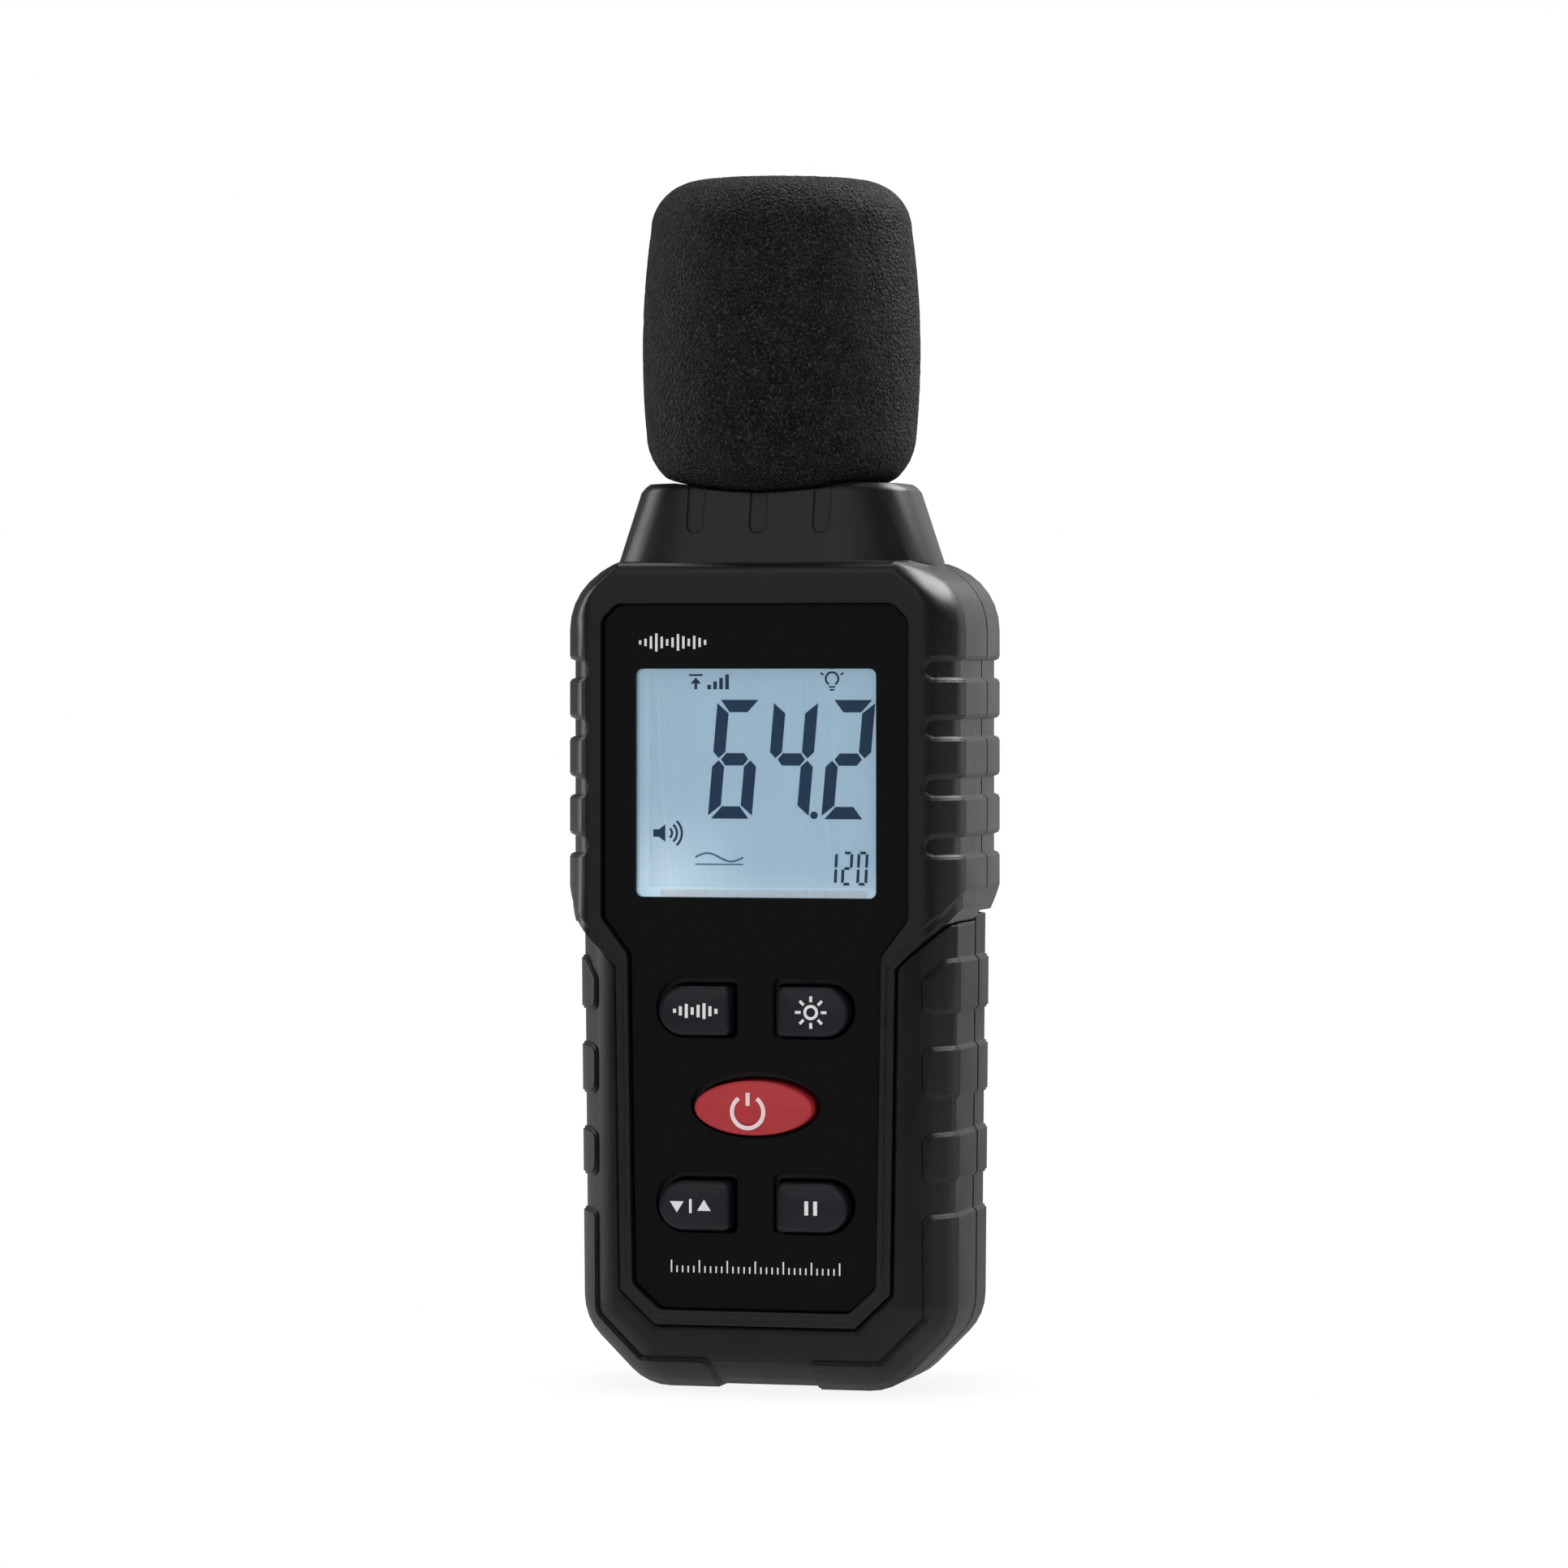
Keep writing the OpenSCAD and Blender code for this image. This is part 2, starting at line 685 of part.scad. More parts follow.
module lcd_glass() color("#9bb2c6") plate(glass_y, guide_y) polygon(glass_face);

frame_t = 1.1;
tray_face = grown(glass_face, 0.15);
module lcd_frame() color("#1a1b1c") {
    difference() {
        plate(wall_y + 0.1, board_y) polygon(grown(glass_face, frame_t));
        plate(-far, tray_y) polygon(tray_face);
        plate(-far, far) polygon(strip_face(0.1));
    }
}

// The elastomer strip joins the lower edge of the glass to the board
strip_half_w = window_w / 2 - 2;
strip_h = 1.5;
function strip_face(grow) = grown(half([[strip_half_w, window_z - 0.7],
    [strip_half_w, window_z + strip_h - 0.7]]), grow);
module elastomer_strip() color("#d8a8a0") plate(guide_y, board_y) polygon(strip_face(0));

guide_half_w = window_w / 2 - 0.6;
module lcd_light_guide() color("#dfe9ee") {
    plate(guide_y, tray_y) polygon(half([[guide_half_w, window_z + 1.1],
        [guide_half_w, window_z + window_h + 0.8]]));
}

led_w = 1.2;
led_h = 2.8;
led_t = 1.5;
module backlight_leds() color("#f4f0d0") {
    for (z = [window_z + 5, window_z + window_h - 5]) mirror_x()
        block([guide_half_w + 0.1, tray_y - led_t, z - led_h / 2],
            [guide_half_w + 0.1 + led_w, tray_y, z + led_h / 2]);
}

// The board is a little wider than the display's frame
board_half_w = window_w / 2 + glass_margin + frame_t + 0.15;
board_low = 9.7;
board_high = case_h - 4;
module main_board() color("#1f5f3a") {
    difference() {
        plate(board_y, board_back_y) polygon(half([[board_half_w - 2, board_low],
            [board_half_w, board_low + 2], [board_half_w, board_high - 3.4],
            [board_half_w - 1.4, board_high]]));
        mirror_x() bar(low_screw_x, low_screw_z, -far, far, low_post_r + 0.3);
        board_places() bar(0, 0, -far, far, board_screw_r + screw_fit);
    }
}

// A box-shaped component on the back of the board, centred at x and z
module on_board(x, z, w, h, t) {
    block([x - w / 2, board_back_y, z - h / 2], [x + w / 2, board_back_y + t, z + h / 2]);
}

// The level of the crystal, which the parts near it follow
crystal_z = bay_top + 12.6;

chip_w = 10;
chip_t = 1.4;
chip_z = crystal_z - 2;
module controller_chip() color("#161718") on_board(0, chip_z, chip_w, chip_w, chip_t);

amplifier_w = 4;
amplifier_h = 5;
amplifier_x = 5;
amplifier_z = board_high - 11.3;
module amplifier_chip() color("#161718")
    on_board(amplifier_x, amplifier_z, amplifier_w, amplifier_h, chip_t);

crystal_r = 2.2;
crystal_len = 6;
crystal_t = 3.4;
crystal_x = 9.8;
module crystal() color("#c9c9c9") {
    on_board(-crystal_x, crystal_z, 2 * crystal_r, crystal_len, crystal_t);
    for (end = [-1, 1]) bar(-crystal_x, crystal_z + end * crystal_len / 2, board_back_y,
        board_back_y + crystal_t, crystal_r);
}

capacitor_r = 2;
capacitor_h = 5.4;
capacitor_z = crystal_z + 6.5;
module capacitors() color("#20242c") {
    for (i = [0, 1]) bar(board_half_w - 3.2 - 2.2 * capacitor_r * i, capacitor_z, board_back_y,
        board_back_y + capacitor_h, capacitor_r);
}

trimmer_w = 6;
trimmer_t = 3;
trimmer_x = 10;
trimmer_z = crystal_z + 11;
module trim_pot() color("#2f62a8") {
    difference() {
        on_board(-trimmer_x, trimmer_z, trimmer_w, trimmer_w, trimmer_t);
        bar(-trimmer_x, trimmer_z, board_back_y + trimmer_t - 0.6, far, trimmer_w / 4);
    }
}

pill_t = 0.5;
pill_gap = 0.05;
contact_pad_t = 0.1;
pill_back_y = board_y - contact_pad_t - pill_gap - key_travel;
stem_y = pill_back_y - pill_t;
flange_y = wall_y + 0.1;
flange_back_y = flange_y + 1.2;
key_spots = [[-key_x, upper_key_z], [key_x, upper_key_z], [-key_x, lower_key_z], [key_x, lower_key_z],
    [0, power_z]];

module key_contacts() color("#d6a84a") {
    for (s = key_spots) bar(s[0], s[1], board_y - contact_pad_t, board_y, 2.3);
}

module keypad_mat() color("#2a2a2e") {
    collar_y = flange_back_y + key_travel + 0.4;
    difference() {
        union() {
            plate(stem_y + 0.4, board_y) polygon(half([[13, lower_key_z - 5], [13, upper_key_z + 5]]));
            plate(collar_y, stem_y + 0.5) all_keys(0.5);
        }
        plate(-far, far) all_keys(-0.5);
        mirror_x() bar(low_screw_x, low_screw_z, -far, far, low_post_r + 0.3);
    }
}

// A key: its face, the shoulder behind the case wall and the stem that carries the carbon pill
module small_key_body(index) {
    face_y = front_y - key_proud;
    plate(face_y, face_y + 0.4) small_key(index, -0.35);
    plate(face_y + 0.4, flange_y) small_key(index);
    plate(flange_y, flange_back_y) small_key(index, 0.75);
    plate(flange_back_y, stem_y) small_key(index, -0.8);
}
module key_mode() color("#1e1c26") small_key_body(0);
module key_light() color("#1e1c26") small_key_body(1);
module key_range() color("#1e1c26") small_key_body(2);
module key_hold() color("#1e1c26") small_key_body(3);
module key_power() color("#bb363b") {
    face_y = front_y - key_proud;
    plate(face_y, face_y + 0.4) power_blank(-0.35);
    plate(face_y + 0.4, flange_y) power_blank();
    plate(flange_y, flange_back_y) power_blank(0.75);
    plate(flange_back_y, stem_y) power_blank(-0.8);
}

module pill(i) color("#101010") bar(key_spots[i][0], key_spots[i][1], stem_y, pill_back_y, 1.9);
module pill_mode() pill(0);
module pill_light() pill(1);
module pill_range() pill(2);
module pill_hold() pill(3);
module pill_power() pill(4);

module mic_tube() color("#9a9da1") on_mic_axis() {
    difference() {
        union() {
            translate([0, 0, case_h - 1]) cylinder(h = tube_top - case_h + 1, r = tube_r);
            translate([0, 0, tube_flange_z + 0.05]) cylinder(h = tube_flange_t - 0.1, r = tube_flange_r);
        }
        cylinder(h = tube_top - 1, r = tube_r - tube_wall);
        cylinder(h = 2 * far, r = tube_r - tube_wall - 0.7);
    }
}

capsule_z = tube_top - 1.4 - capsule_h;
module mic_capsule() color("#b9bcc0")
    translate([0, mic_y, capsule_z]) cylinder(h = capsule_h, r = capsule_r);

module mic_boot() color("#202124") {
    translate([0, mic_y, capsule_z - 1]) difference() {
        cylinder(h = capsule_h + 1, r = tube_r - tube_wall);
        translate([0, 0, 1]) cylinder(h = capsule_h + 1, r = capsule_r);
        cylinder(h = 2 * capsule_h, r = capsule_r - 1);
    }
}

module mic_grille() color("#8b8e92") on_mic_axis() {
    grille_z = tube_top - 1.4;
    difference() {
        translate([0, 0, grille_z]) cylinder(h = 0.4, r = tube_r - tube_wall - 0.05);
        for (a = [0:60:300]) rotate([0, 0, a]) translate([2.6, 0, grille_z - 1])
            cylinder(h = 3, r = 0.6, $fn = 24);
        translate([0, 0, grille_z - 1]) cylinder(h = 3, r = 0.6, $fn = 24);
    }
}

wire_r = 0.5;
wire_y = board_back_y + 1.8;
connector_top = board_high - 3;
module mic_wires() color("#b03030") {
    for (x = [-1.6, 0, 1.6])
        translate([x, wire_y, connector_top]) cylinder(h = capsule_z - connector_top, r = wire_r);
}
module mic_connector() color("#e6e2d6")
    block([-4, board_back_y, connector_top - 5], [4, board_back_y + 3.6, connector_top]);

// An AAA cell with its button at the top, or at the bottom when it is turned over
module cell(index, up) {
    body_h = cell_len - 0.8;
    z = up ? cell_high : cell_low;
    translate([(index - 1) * cell_pitch, cell_y, z]) {
        translate([0, 0, up ? 0 : 0.8]) cylinder(h = body_h, r = cell_d / 2);
        translate([0, 0, up ? body_h - 0.1 : 0]) cylinder(h = 0.9, r = 1.9);
    }
}
module battery_1() color("#3c6fb0") cell(0, true);
module battery_2() color("#3c6fb0") cell(1, false);
module battery_3() color("#3c6fb0") cell(2, true);

// A coil spring made of one round wire, with its ends inside the given height
coil_wire = 0.3;
module coil(h) {
    turns = 3;
    sides = 6;
    rings = turns * 12;
    coil_r = 2.8;
    rise = h - 2 * coil_wire;
    points = [for (i = [0:rings]) let (a = 360 * turns * i / rings) for (k = [0:sides - 1])
        let (b = 360 * k / sides, r = coil_r + coil_wire * cos(b))
        [r * cos(a), r * sin(a), coil_wire + rise * i / rings + coil_wire * sin(b)]];
    sideways = [for (i = [0:rings - 1]) for (k = [0:sides - 1]) let (n = (k + 1) % sides)
        [i * sides + k, i * sides + n, (i + 1) * sides + n, (i + 1) * sides + k]];
    polyhedron(points, concat(sideways, [[for (k = [sides - 1:-1:0]) k],
        [for (k = [0:sides - 1]) rings * sides + k]]));
}
module battery_springs() color("#c4c6c8") {
    for (i = [0, 2]) translate([(i - 1) * cell_pitch, cell_y, cell_low]) coil(spring_len);
    translate([0, cell_y, cell_low + cell_len]) coil(spring_len);
}

contact_half_w = 4.4;
contact_half_d = 4.6;
module contact_plate(x0, x1, z) {
    block([x0 - contact_half_w, cell_y - contact_half_d, z],
        [x1 + contact_half_w, cell_y + contact_half_d, z + contact_t]);
}
module terminal(side, z, z0, z1) {
    x = side * cell_pitch;
    contact_plate(x, x, z);
    block([x - 1, tab_y, z0], [x + 1, tab_y + contact_t, z1]);
}
module contact_positive() color("#c9b27a")
    terminal(-1, bay_top - contact_t, bay_top - contact_t, bay_top + bay_wall + 1.4);
module contact_negative() color("#c9b27a")
    terminal(1, bay_z, bay_z - bay_wall - 0.5, bay_z + contact_t);
module bridge_upper() color("#c9b27a") contact_plate(0, cell_pitch, bay_top - contact_t);
module bridge_lower() color("#c9b27a") contact_plate(-cell_pitch, 0, bay_z);

// A round wire along a list of points
module wire(path) {
    sides = 8;
    last = len(path) - 1;
    across = [1, 0, 0];
    points = [for (i = [0:last]) let (t = unit(path[min(i + 1, last)] - path[max(i - 1, 0)]),
        up = cross(t, across)) for (k = [0:sides - 1]) let (a = 360 * k / sides)
        path[i] + wire_r * (across * cos(a) + up * sin(a))];
    sideways = [for (i = [0:last - 1]) for (k = [0:sides - 1]) let (n = (k + 1) % sides)
        [i * sides + k, i * sides + n, (i + 1) * sides + n, (i + 1) * sides + k]];
    polyhedron(points, concat(sideways, [[for (k = [sides - 1:-1:0]) k],
        [for (k = [0:sides - 1]) last * sides + k]]));
}
module wire_positive() color("#b3262a") {
    x = -cell_pitch;
    y = tab_y - wire_r - 0.02;
    z = bay_top + bay_wall + 0.9;
    wire([[x, board_back_y, z + 3], [x, board_back_y + 1.4, z + 3], [x, board_back_y + 2.6, z + 2.4],
        [x, y - 1.2, z + 1.2], [x, y - 0.2, z + 0.6], [x, y, z - 0.5]]);
}
module wire_negative() color("#17181a") {
    x = cell_pitch;
    z = bay_z - bay_wall - wire_r - 0.52;
    wire([[x, tab_y + contact_t, z], [x, case_y + 1, z], [x, case_y - 0.8, z + 0.5],
        [x, case_y - 1.9, z + 1.8], [x, case_y - 2.2, z + 4], [x, board_back_y + 1.3, z + 5.6],
        [x, board_back_y + 0.8, z + 6], [x, board_back_y, z + 6]]);
}

pin_r = 0.75;
pin_fit = 0.05;
pin_len = 1;
cover_low = bay_z + cover_gap;
cover_high = bay_top - cover_gap;
pin_y = grip_back_y - 1;
pin_z = cover_low + 0.95;
module cover_pins(grow) {
    reach = bay_half_w + pin_len + grow;
    translate([-reach, pin_y, pin_z]) rotate([0, 90, 0]) cylinder(h = 2 * reach, r = pin_r + grow);
}
module battery_cover() color("#2e3033") {
    w = bay_half_w - cover_gap;
    difference() {
        translate([-w, 0, 0]) rotate([90, 0, 90]) linear_extrude(2 * w)
            polygon([[cover_y, cover_low], [grip_back_y - 0.6, cover_low], [grip_back_y, cover_low + 0.6],
                [grip_back_y, cover_high], [cover_y, cover_high]]);
        // Thumb hollow of the latch
        bar(0, cover_high - 4, grip_back_y - 0.6, far, 5);
        for (i = [0:4]) block([-7, grip_back_y - 0.4, cover_high - 12 - 1.8 * i],
            [7, far, cover_high - 11.2 - 1.8 * i]);
    }
    cover_pins(0);
}
pad_t = 0.3;
pad_len = 16;
pad_z = (bay_z + bay_top) / 2 + 1.8;
module cover_pad() color("#45474a")
    block([-bay_half_w + 2, cover_y - pad_t, pad_z - pad_len / 2],
        [bay_half_w - 2, cover_y, pad_z + pad_len / 2]);

// A pan-head screw along Y with its head at the back
module screw(x, z, tip_y, seat, r, head_r, head_h) {
    difference() {
        union() {
            bar(x, z, tip_y, seat, r);
            bar(x, z, seat, seat + head_h, head_r);
        }
        for (a = [0, 90]) translate([x, seat + head_h, z]) rotate([0, a, 0])
            block([-head_r * 0.6, -head_h * 0.5, -0.2], [head_r * 0.6, 1, 0.2]);
    }
}
module upper_case_screws() color("#7d8084") {
    for (z = [upper_screw_z, waist_screw_z])
        mirror_x() screw(screw_x, z, wall_y + 2.5, head_screw_y, screw_r, screw_head_r, screw_head_h);
}
small_head_r = 1.8;
small_head_h = 1.1;
module lower_case_screws() color("#7d8084") {
    mirror_x() screw(low_screw_x, low_screw_z, wall_y + 2.5, floor_y, low_screw_r, small_head_r,
        small_head_h);
}
module board_screws() color("#7d8084") {
    board_places() screw(0, 0, wall_y + 2.5, board_back_y, board_screw_r, small_head_r, small_head_h);
}

module tripod_nut() color("#b8954a") {
    difference() {
        bar(0, tripod_z, back_y - tripod_len, back_y, tripod_nut_r);
        bar(0, tripod_z, back_y - tripod_len + 1, far, tripod_r);
    }
}

// The windscreen: a round foam cap with a bore for the microphone tube. It bulges a little at its
// sides, which are 1 mm further in at foam_curve above and below the widest level, and it is round at
// its top and its foot.
foam_foot_r = 7.4;
foam_top_r = 6;
foam_curve = 14.6;
foam_widest = foam_h - 21;
function foam_side(z) = foam_r - pow((z - foam_widest) / foam_curve, 2);
function foam_bend(r, z, start, end) = [for (i = [0:6])
    let (a = start + (end - start) * i / 6) [foam_side(z) - r + r * cos(a), z + r * sin(a)]];
foam_section = concat([[0, 0]], foam_bend(foam_foot_r, foam_foot_r, -90, 0),
    [for (i = [1:6]) let (z = foam_foot_r + (foam_h - foam_foot_r - foam_top_r) * i / 7)
        [foam_side(z), z]],
    foam_bend(foam_top_r, foam_h - foam_top_r, 0, 90), [[0, foam_h]]);

module windscreen() color("#1a1b1e") on_mic_axis() {
    bore_r = tube_r + 0.1;
    difference() {
        translate([0, 0, foam_z]) rotate_extrude($fn = 96) polygon(foam_section);
        cylinder(h = foam_z + foam_grip, r = bore_r);
        difference() {
            block([-far, -far, 0], [far, far, neck_top + 0.1]);
            translate([0, 0, dish_z + 0.1 + dish_r]) rotate([90, 0, 0])
                cylinder(h = 2 * far, r = dish_r, center = true, $fn = 96);
        }
    }
}

front_case();
rear_case();
front_grip();
rear_grip();
front_panel();
lcd_window();
lcd_frame();
lcd_glass();
lcd_light_guide();
backlight_leds();
elastomer_strip();
main_board();
controller_chip();
amplifier_chip();
crystal();
capacitors();
trim_pot();
key_contacts();
keypad_mat();
key_mode();
key_light();
key_power();
key_range();
key_hold();
pill_mode();
pill_light();
pill_power();
pill_range();
pill_hold();
mic_tube();
mic_capsule();
mic_boot();
mic_grille();
mic_wires();
mic_connector();
battery_1();
battery_2();
battery_3();
battery_springs();
contact_positive();
contact_negative();
bridge_upper();
bridge_lower();
wire_positive();
wire_negative();
battery_cover();
cover_pad();
upper_case_screws();
lower_case_screws();
board_screws();
tripod_nut();
windscreen();
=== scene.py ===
"""Looks of the sound level meter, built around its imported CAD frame.

Lengths are in millimetres and become metres where a mesh is made. The front faces -Y, Z is up.
"""

from math import cos, hypot, pi, radians, sin, sqrt

import bmesh
import bpy
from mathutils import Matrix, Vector, noise


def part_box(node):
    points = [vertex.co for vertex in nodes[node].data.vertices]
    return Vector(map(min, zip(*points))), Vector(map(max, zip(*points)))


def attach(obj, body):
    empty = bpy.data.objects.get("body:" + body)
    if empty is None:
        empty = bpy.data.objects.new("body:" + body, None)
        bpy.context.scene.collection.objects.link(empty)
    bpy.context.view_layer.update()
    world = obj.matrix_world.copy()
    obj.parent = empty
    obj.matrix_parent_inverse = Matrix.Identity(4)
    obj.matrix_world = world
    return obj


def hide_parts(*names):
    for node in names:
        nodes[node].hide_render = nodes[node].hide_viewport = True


MM = 0.001

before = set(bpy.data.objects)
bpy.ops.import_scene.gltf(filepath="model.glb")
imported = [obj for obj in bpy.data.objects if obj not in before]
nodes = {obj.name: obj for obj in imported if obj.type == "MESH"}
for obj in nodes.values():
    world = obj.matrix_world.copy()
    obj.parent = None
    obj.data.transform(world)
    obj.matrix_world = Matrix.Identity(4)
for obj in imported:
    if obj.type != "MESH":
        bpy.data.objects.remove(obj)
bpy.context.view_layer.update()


def box_mm(name):
    low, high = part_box(name)
    return low / MM, high / MM


# Levels and sizes that the pieces share, read from the frame where it has them
PANEL_Y = box_mm("front_panel")[0].y
CASE_Y = (box_mm("front_case")[0].y + box_mm("rear_case")[1].y) / 2
PANEL_T = 1.5
FRONT_WALL = 1.8
FLANGE_GAP = 0.1
FLANGE_Y = PANEL_Y + PANEL_T + FRONT_WALL + FLANGE_GAP
GLASS_LOW, GLASS_HIGH = box_mm("lcd_glass")
GLASS_MARGIN = 0.95
DISPLAY_LEFT = GLASS_LOW.x + GLASS_MARGIN
DISPLAY_RIGHT = GLASS_HIGH.x - GLASS_MARGIN
DISPLAY_TOP = GLASS_HIGH.z - GLASS_MARGIN
DISPLAY_BOTTOM = GLASS_LOW.z + GLASS_MARGIN
DISPLAY_GLOW = 0.5


# ---------------------------------------------------------------- materials


class ShaderTree:
    """The shader nodes of one tree, with short names for the kinds used here."""

    def __init__(self, tree):
        self.tree = tree
        self.tree.nodes.clear()

    def node(self, kind, values=None, **settings):
        made = self.tree.nodes.new(kind)
        for name, value in settings.items():
            setattr(made, name, value)
        for name, value in (values or {}).items():
            self.feed(made.inputs[name], value)
        return made

    def feed(self, socket, value):
        """Links a socket, or sets it where the value is a plain one."""
        if isinstance(value, bpy.types.NodeSocket):
            self.tree.links.new(value, socket)
        else:
            socket.default_value = value

    def math(self, operation, a, b):
        return self.node("ShaderNodeMath", {0: a, 1: b}, operation=operation).outputs[0]

    def remap(self, value, low, high, to_low=0.0, to_high=1.0, shape="LINEAR"):
        return self.node(
            "ShaderNodeMapRange",
            {"Value": value, "From Min": low, "From Max": high, "To Min": to_low, "To Max": to_high},
            interpolation_type=shape,
        ).outputs[0]

    def blend(self, factor, a, b):
        return self.node("ShaderNodeMixShader", {0: factor, 1: a, 2: b}).outputs[0]


class Paint(ShaderTree):
    """A material made of nodes."""

    def __init__(self, name):
        self.material = bpy.data.materials.new(name)
        self.material.use_nodes = True
        super().__init__(self.material.node_tree)
        self.place = self.node("ShaderNodeTexCoord").outputs["Object"]

    def noise(self, size, detail=2.0, roughness=0.5, place=None):
        """Noise whose features are about size millimetres."""
        values = {
            "Vector": place or self.place,
            "Scale": 1 / (size * MM),
            "Detail": detail,
            "Roughness": roughness,
        }
        return self.node("ShaderNodeTexNoise", values).outputs[0]

    def cells(self, size, feature="F1"):
        """Distance to the nearest of points about size millimetres apart."""
        values = {"Vector": self.place, "Scale": 1 / (size * MM), "Randomness": 1.0}
        return self.node("ShaderNodeTexVoronoi", values, feature=feature).outputs["Distance"]

    def mix(self, factor, a, b):
        made = self.node("ShaderNodeMix", data_type="RGBA")
        for index, value in ((0, factor), (6, a), (7, b)):
            self.feed(made.inputs[index], value)
        return made.outputs[2]

    def axis(self, name):
        return self.node("ShaderNodeSeparateXYZ", {0: self.place}).outputs[name]

    def stretched(self, x, y, z):
        """Object coordinates with each axis scaled, for grain that runs one way."""
        made = self.node("ShaderNodeVectorMath", {0: self.place, 1: (x, y, z)}, operation="MULTIPLY")
        return made.outputs[0]

    def edges(self, radius):
        """(normal rounded over edges, mask that is 1 along them)."""
        soft = self.node("ShaderNodeBevel", {"Radius": radius * MM}, samples=6).outputs[0]
        true = self.node("ShaderNodeNewGeometry").outputs["Normal"]
        same = self.node("ShaderNodeVectorMath", {0: soft, 1: true}, operation="DOT_PRODUCT")
        return soft, self.remap(same.outputs["Value"], 0.995, 0.86)

    def bump(self, height, depth, normal=None):
        values = {"Height": height, "Distance": depth * MM, "Strength": 1.0}
        if normal is not None:
            values["Normal"] = normal
        return self.node("ShaderNodeBump", values).outputs[0]

    def surface(self, **values):
        """Ends the material with a Principled shader of the given values."""
        named = {name.replace("_", " "): value for name, value in values.items()}
        return self.finish(self.node("ShaderNodeBsdfPrincipled", named).outputs[0])

    def finish(self, shader):
        self.node("ShaderNodeOutputMaterial", {"Surface": shader})
        return self.material


def tone(code, gain=1.0, lift=0.0):
    """Linear colour of an sRGB hex code, made brighter by gain and lift."""
    channels = [int(code[i : i + 2], 16) / 255 for i in (0, 2, 4)]
    linear = [c / 12.92 if c <= 0.04045 else ((c + 0.055) / 1.055) ** 2.4 for c in channels]
    return (*[min(1, c * gain + lift) for c in linear], 1)


def moulded(name, dark, light, gloss, grain, depth, edge=0.3, wear_and_highlight=None, **extra):
    """Moulded plastic or rubber: mottled colour, eroded grain, uneven gloss, and edges lightened in
    patches, partly wear and partly a painted highlight.
    """
    p = Paint(name)
    soft, mask = p.edges(edge)
    mottle = p.noise(9, 3, 0.6)
    fine = p.noise(grain, 3, 0.65)
    colour = p.mix(p.remap(mottle, 0.35, 0.65), tone(dark), tone(light))
    # Lighter colour in patches along the edges: partly wear, partly a painted highlight.
    if wear_and_highlight:
        wear_and_highlight_mask = p.math("MULTIPLY", mask, p.remap(p.noise(1.6, 4, 0.7), 0.42, 0.72, 0.05, 0.55))
        colour = p.mix(wear_and_highlight_mask, colour, tone(wear_and_highlight))
    wide = p.remap(mottle, 0.3, 0.7, gloss - 0.03, gloss + 0.04)
    narrow = p.remap(fine, 0.3, 0.7, -0.04, 0.04)
    pits = p.math("ADD", fine, p.math("MULTIPLY", p.noise(grain * 4, 2), 0.6))
    return p.surface(
        Base_Color=colour, Roughness=p.math("ADD", wide, narrow), Normal=p.bump(pits, depth, soft), **extra
    )


def gloss_panel():
    """Polished black plastic: very fine orange peel, a few hairlines, and a soft edge that is lighter
    grey, a painted highlight.
    """
    p = Paint("panel_gloss")
    soft, mask = p.edges(0.22)
    wave = p.noise(6, 2)
    hairs = p.remap(p.noise(0.5, 2, 0.5, p.stretched(1, 1, 0.08)), 0.66, 0.74, 0, 0.05)
    return p.surface(
        # Painted highlight: the colour turns lighter grey along the edges.
        Base_Color=p.mix(p.math("MULTIPLY", mask, 0.5), tone("0c0d0e"), tone("1c1d1f")),
        Roughness=p.math("ADD", p.remap(wave, 0.3, 0.7, 0.10, 0.15), hairs),
        Specular_IOR_Level=0.15,
        Coat_Weight=0.05,
        Coat_Roughness=0.05,
        Normal=p.bump(wave, 0.004, soft),
    )


def clear_lens():
    """Clear window: light passes straight through, and the surface mirrors more at a low angle."""
    p = Paint("clear_lens")
    fresnel = p.node("ShaderNodeFresnel", {"IOR": 1.45}).outputs[0]
    smear = p.remap(p.noise(7, 4, 0.6), 0.4, 0.75, 0.03, 0.10)
    shine = p.node("ShaderNodeBsdfGlossy", {"Color": (1, 1, 1, 1), "Roughness": smear}).outputs[0]
    clear = p.node("ShaderNodeBsdfTransparent", {"Color": (0.985, 0.99, 0.99, 1)}).outputs[0]
    return p.finish(p.blend(p.math("MULTIPLY", fresnel, 0.6), clear, shine))


def lit_display():
    """Pale blue display, lit from the lower left, with a pale lower edge."""
    p = Paint("lit_display")
    lamp = Vector((DISPLAY_LEFT + 3.5, GLASS_HIGH.y, DISPLAY_BOTTOM + 1)) * MM
    across = p.remap(p.axis("X"), DISPLAY_LEFT * MM, DISPLAY_RIGHT * MM)
    up = p.remap(p.axis("Z"), DISPLAY_BOTTOM * MM, DISPLAY_TOP * MM)
    away = p.node("ShaderNodeVectorMath", {0: p.place, 1: lamp}, operation="DISTANCE").outputs["Value"]
    glow = p.math("POWER", p.remap(away, 0.0, 13 * MM, 1, 0), 1.8)
    low = p.math("POWER", p.remap(up, 0.16, 0.0), 1.5)
    base = p.mix(p.math("MULTIPLY", up, 0.4), tone("a9bfce"), tone("a2b9c8"))
    base = p.mix(p.math("MULTIPLY", across, 0.3), base, tone("a0bccb"))
    base = p.mix(p.remap(p.noise(6, 2), 0.3, 0.7, 0, 0.12), base, tone("aec3d0"))
    base = p.mix(p.math("MULTIPLY", glow, 0.8), base, tone("dcebf3"))
    base = p.mix(p.math("MULTIPLY", low, 0.5), base, tone("d0e3ec"))
    mesh = p.math("ADD", p.noise(0.12, 1), p.math("MULTIPLY", p.noise(2.5, 2), 0.5))
    return p.surface(
        Base_Color=base,
        Roughness=0.42,
        Specular_IOR_Level=0.25,
        Emission_Color=base,
        Emission_Strength=DISPLAY_GLOW,
        Normal=p.bump(mesh, 0.002),
    )


